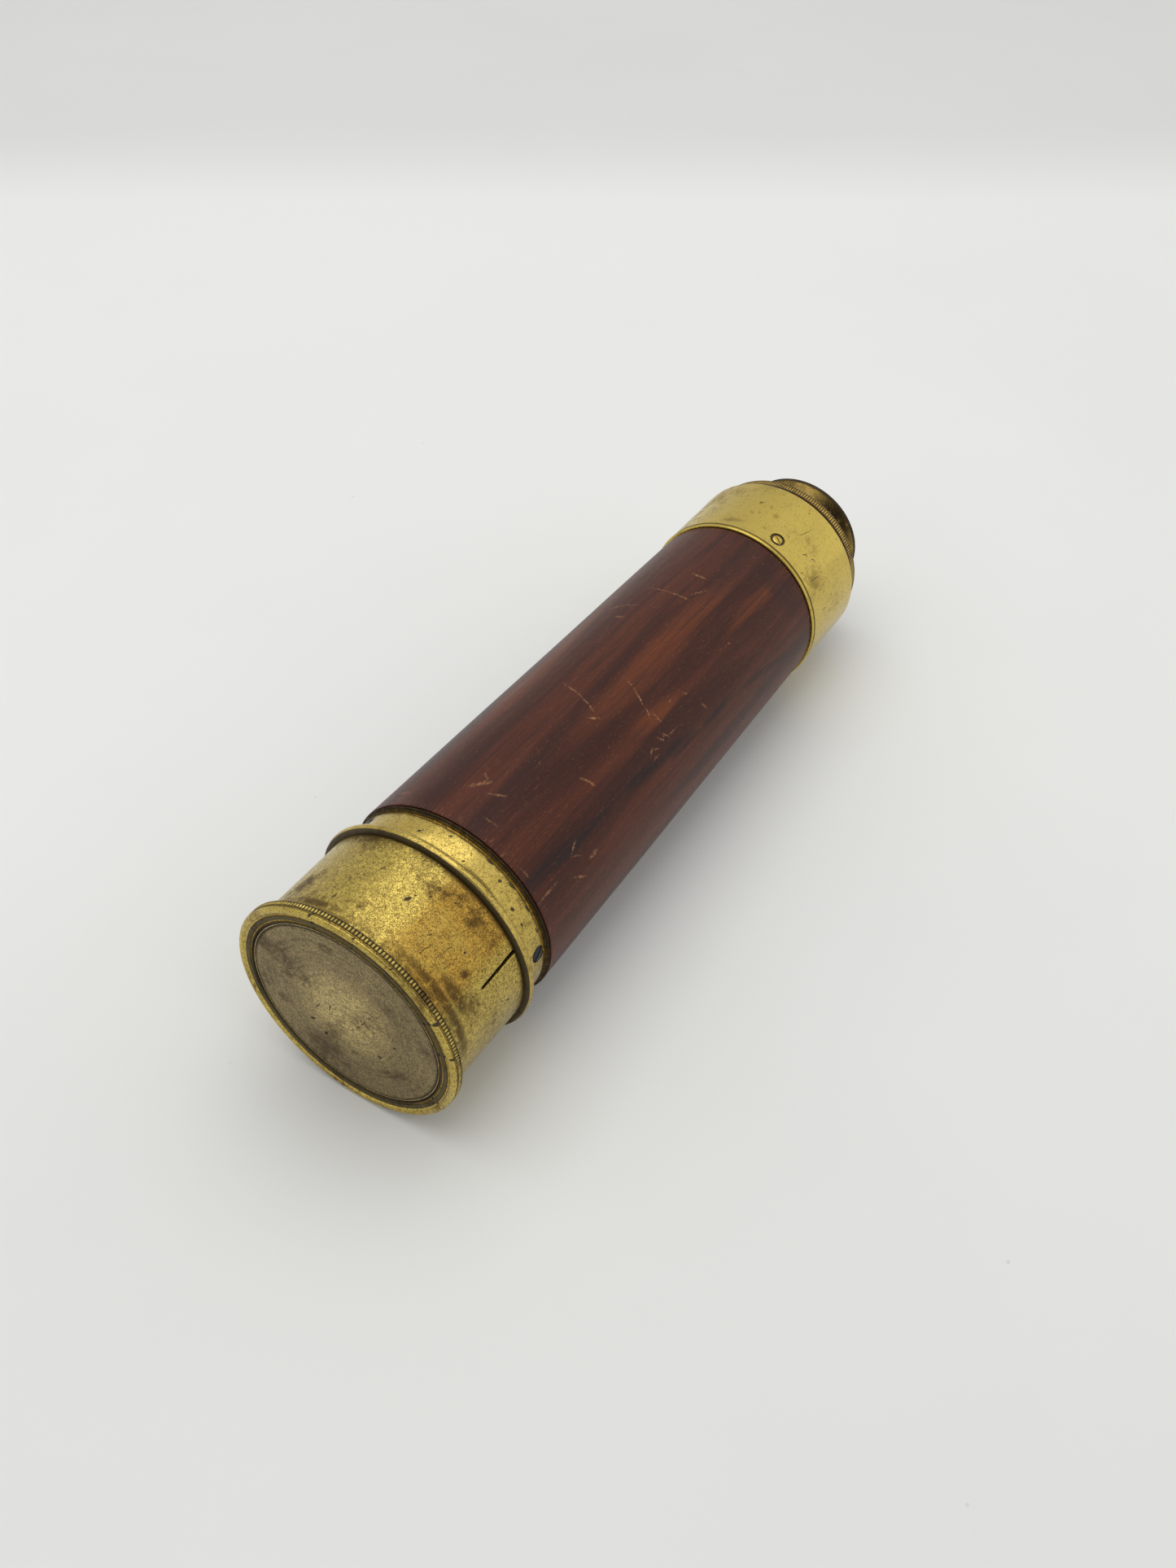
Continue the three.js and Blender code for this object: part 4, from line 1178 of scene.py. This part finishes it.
# ---- Stage ----
#
# The telescope lies on its bead and on the far edge of its ferrule, so its axis leans a little to the
# floor. The floor, lights and camera are placed in the floor's own frame: X runs along under the telescope,
# Z is up, and the origin is under the front of the cap.

FERRULE_STATION = end("draw_ferrule") - 0.7
drop = outer("objective_cell") - outer("draw_ferrule")
lean = math.atan2(drop, FERRULE_STATION - BEAD_STATION)
bead_foot = place(BEAD_STATION, outer("objective_cell"), -90)
floor_frame = (
    Matrix.Translation(bead_foot)
    @ Matrix.Rotation(-lean, 4, "Y")
    @ Matrix.Translation(Vector((-BEAD_STATION * MM, 0, 0)))
)

CAMERA_HEADING = math.radians(32.87)  # from the telescope's axis towards +Y
CAMERA_DROP = math.radians(45.67)  # below level
CAMERA_PLACE = Vector((-0.1222, -0.1342, 0.2689))
CAMERA_LENS = 36.15


def make_camera():
    data = bpy.data.cameras.new("camera")
    data.lens, data.sensor_width, data.sensor_fit = CAMERA_LENS, 36.0, "AUTO"
    data.clip_start, data.clip_end = 0.01, 50
    camera = linked("camera", data)
    aim = Euler((math.pi / 2 - CAMERA_DROP, 0, CAMERA_HEADING - math.pi / 2)).to_matrix().to_4x4()
    camera.matrix_world = floor_frame @ Matrix.Translation(CAMERA_PLACE) @ aim
    bpy.context.scene.camera = camera


# How bright the floor's colour is painted, at distances in metres from the spot under the camera: painted
# shadow near the camera, a painted lighter band towards the brightest distance, and painted shade far off.
FLOOR_NEAR, FLOOR_MIDDLE, FLOOR_BRIGHTEST, FLOOR_FAR = 0.06, 0.28, 0.535, 0.64


def make_floor():
    s = Shader("pale_floor")
    coordinates = s.add("ShaderNodeTexCoord").outputs["Object"]
    parts = s.split(coordinates)
    foot = floor_frame @ Vector((CAMERA_PLACE.x, CAMERA_PLACE.y, 0))
    away = s.total(
        s.times(s.minus(parts[0], foot.x), math.cos(CAMERA_HEADING)),
        s.times(s.minus(parts[1], foot.y), math.sin(CAMERA_HEADING)),
    )
    # Painted shade and light: the floor's colour is darkened near the camera and far off, and lightened
    # between.
    shade = s.times(
        s.ramp(away, FLOOR_NEAR, FLOOR_MIDDLE, 0.93, 1.0),
        s.ramp(away, FLOOR_MIDDLE, FLOOR_BRIGHTEST, 1.0, 1.04),
        s.ramp(away, FLOOR_BRIGHTEST, FLOOR_FAR, 1.0, 0.83),
    )
    soft = s.noise(coordinates, 6, 4, 0.6)
    apart, chance = s.cells(coordinates, 90)
    speck = s.times(s.ramp(apart, 0.05, 0.02), s.ramp(chance, 0.90, 0.95))
    colour = s.mix(s.ramp(soft, 0.4, 0.7), (0.815, 0.82, 0.80, 1), (0.80, 0.805, 0.785, 1))
    colour = s.mix(s.times(speck, 0.30), colour, (0.42, 0.41, 0.39, 1))
    colour = s.mix(shade, (0, 0, 0, 1), colour)
    s.set(Base_Color=colour, Roughness=0.6, Specular_IOR_Level=0.25)
    size = 6.0
    corners = [floor_frame @ Vector((x * size, y * size, 0)) for x, y in ((-1, -1), (1, -1), (1, 1), (-1, 1))]
    floor = mesh_object("floor", corners, [(0, 1, 2, 3)])
    floor.data.materials.append(s.material)


def make_panel(place_at, size, power):
    """A large soft rectangular panel that faces straight down."""
    data = bpy.data.lights.new("overhead_panel", "AREA")
    data.shape, data.size, data.size_y, data.energy = "RECTANGLE", *size, power
    linked("overhead_panel", data).matrix_world = floor_frame @ Matrix.Translation(Vector(place_at))


ROOM_STRENGTH, FIGURE_STRENGTH = 0.91, 0.25
ROOM_LEVELS = ((0.0, 0.82), (1.0, 0.86), (0.5, 0.74))  # (height, level): at the horizon, overhead and between
WINDOW_SIDE = Vector((0.35, -0.90, 0.25)).normalized()
FIGURE_SIDE = Vector((-0.6, -0.38, 0.7)).normalized()


def make_room():
    """The pale room round the table, lighter on one side, with a dark figure where the camera is held."""
    world = bpy.data.worlds.new("room")
    bpy.context.scene.world = world
    world.use_nodes = True
    s = Nodes(world.node_tree)
    direction = s.add("ShaderNodeTexCoord").outputs["Generated"]
    level = s.add("ShaderNodeValToRGB", {0: s.split(direction)[2]})
    stops = level.color_ramp.elements
    for stop, (height, grey) in zip((stops[0], stops[1], stops.new(0.5)), ROOM_LEVELS):
        stop.position, stop.color = height, (grey, grey, grey * 0.985, 1)
    lift = s.ramp(s.vectors("DOT_PRODUCT", direction, WINDOW_SIDE, "Value"), 0.1, 0.95, 1.0, 1.32)
    lifted = s.add("ShaderNodeVectorMath", {0: level.outputs[0], "Scale": lift}, operation="SCALE").outputs[0]
    toward = s.vectors("DOT_PRODUCT", direction, FIGURE_SIDE, "Value")
    edge, core = (math.cos(math.radians(angle)) for angle in (32, 22))
    strength = s.ramp(toward, edge, core, ROOM_STRENGTH, FIGURE_STRENGTH)
    background = s.add("ShaderNodeBackground", {0: lifted, 1: strength})
    s.add("ShaderNodeOutputWorld", {0: background.outputs[0]})


make_camera()
make_floor()
make_room()
make_panel((0.125, 0.19, 1.0), (1.25, 0.92), 3.5)
bpy.context.scene.view_settings.view_transform = "Standard"
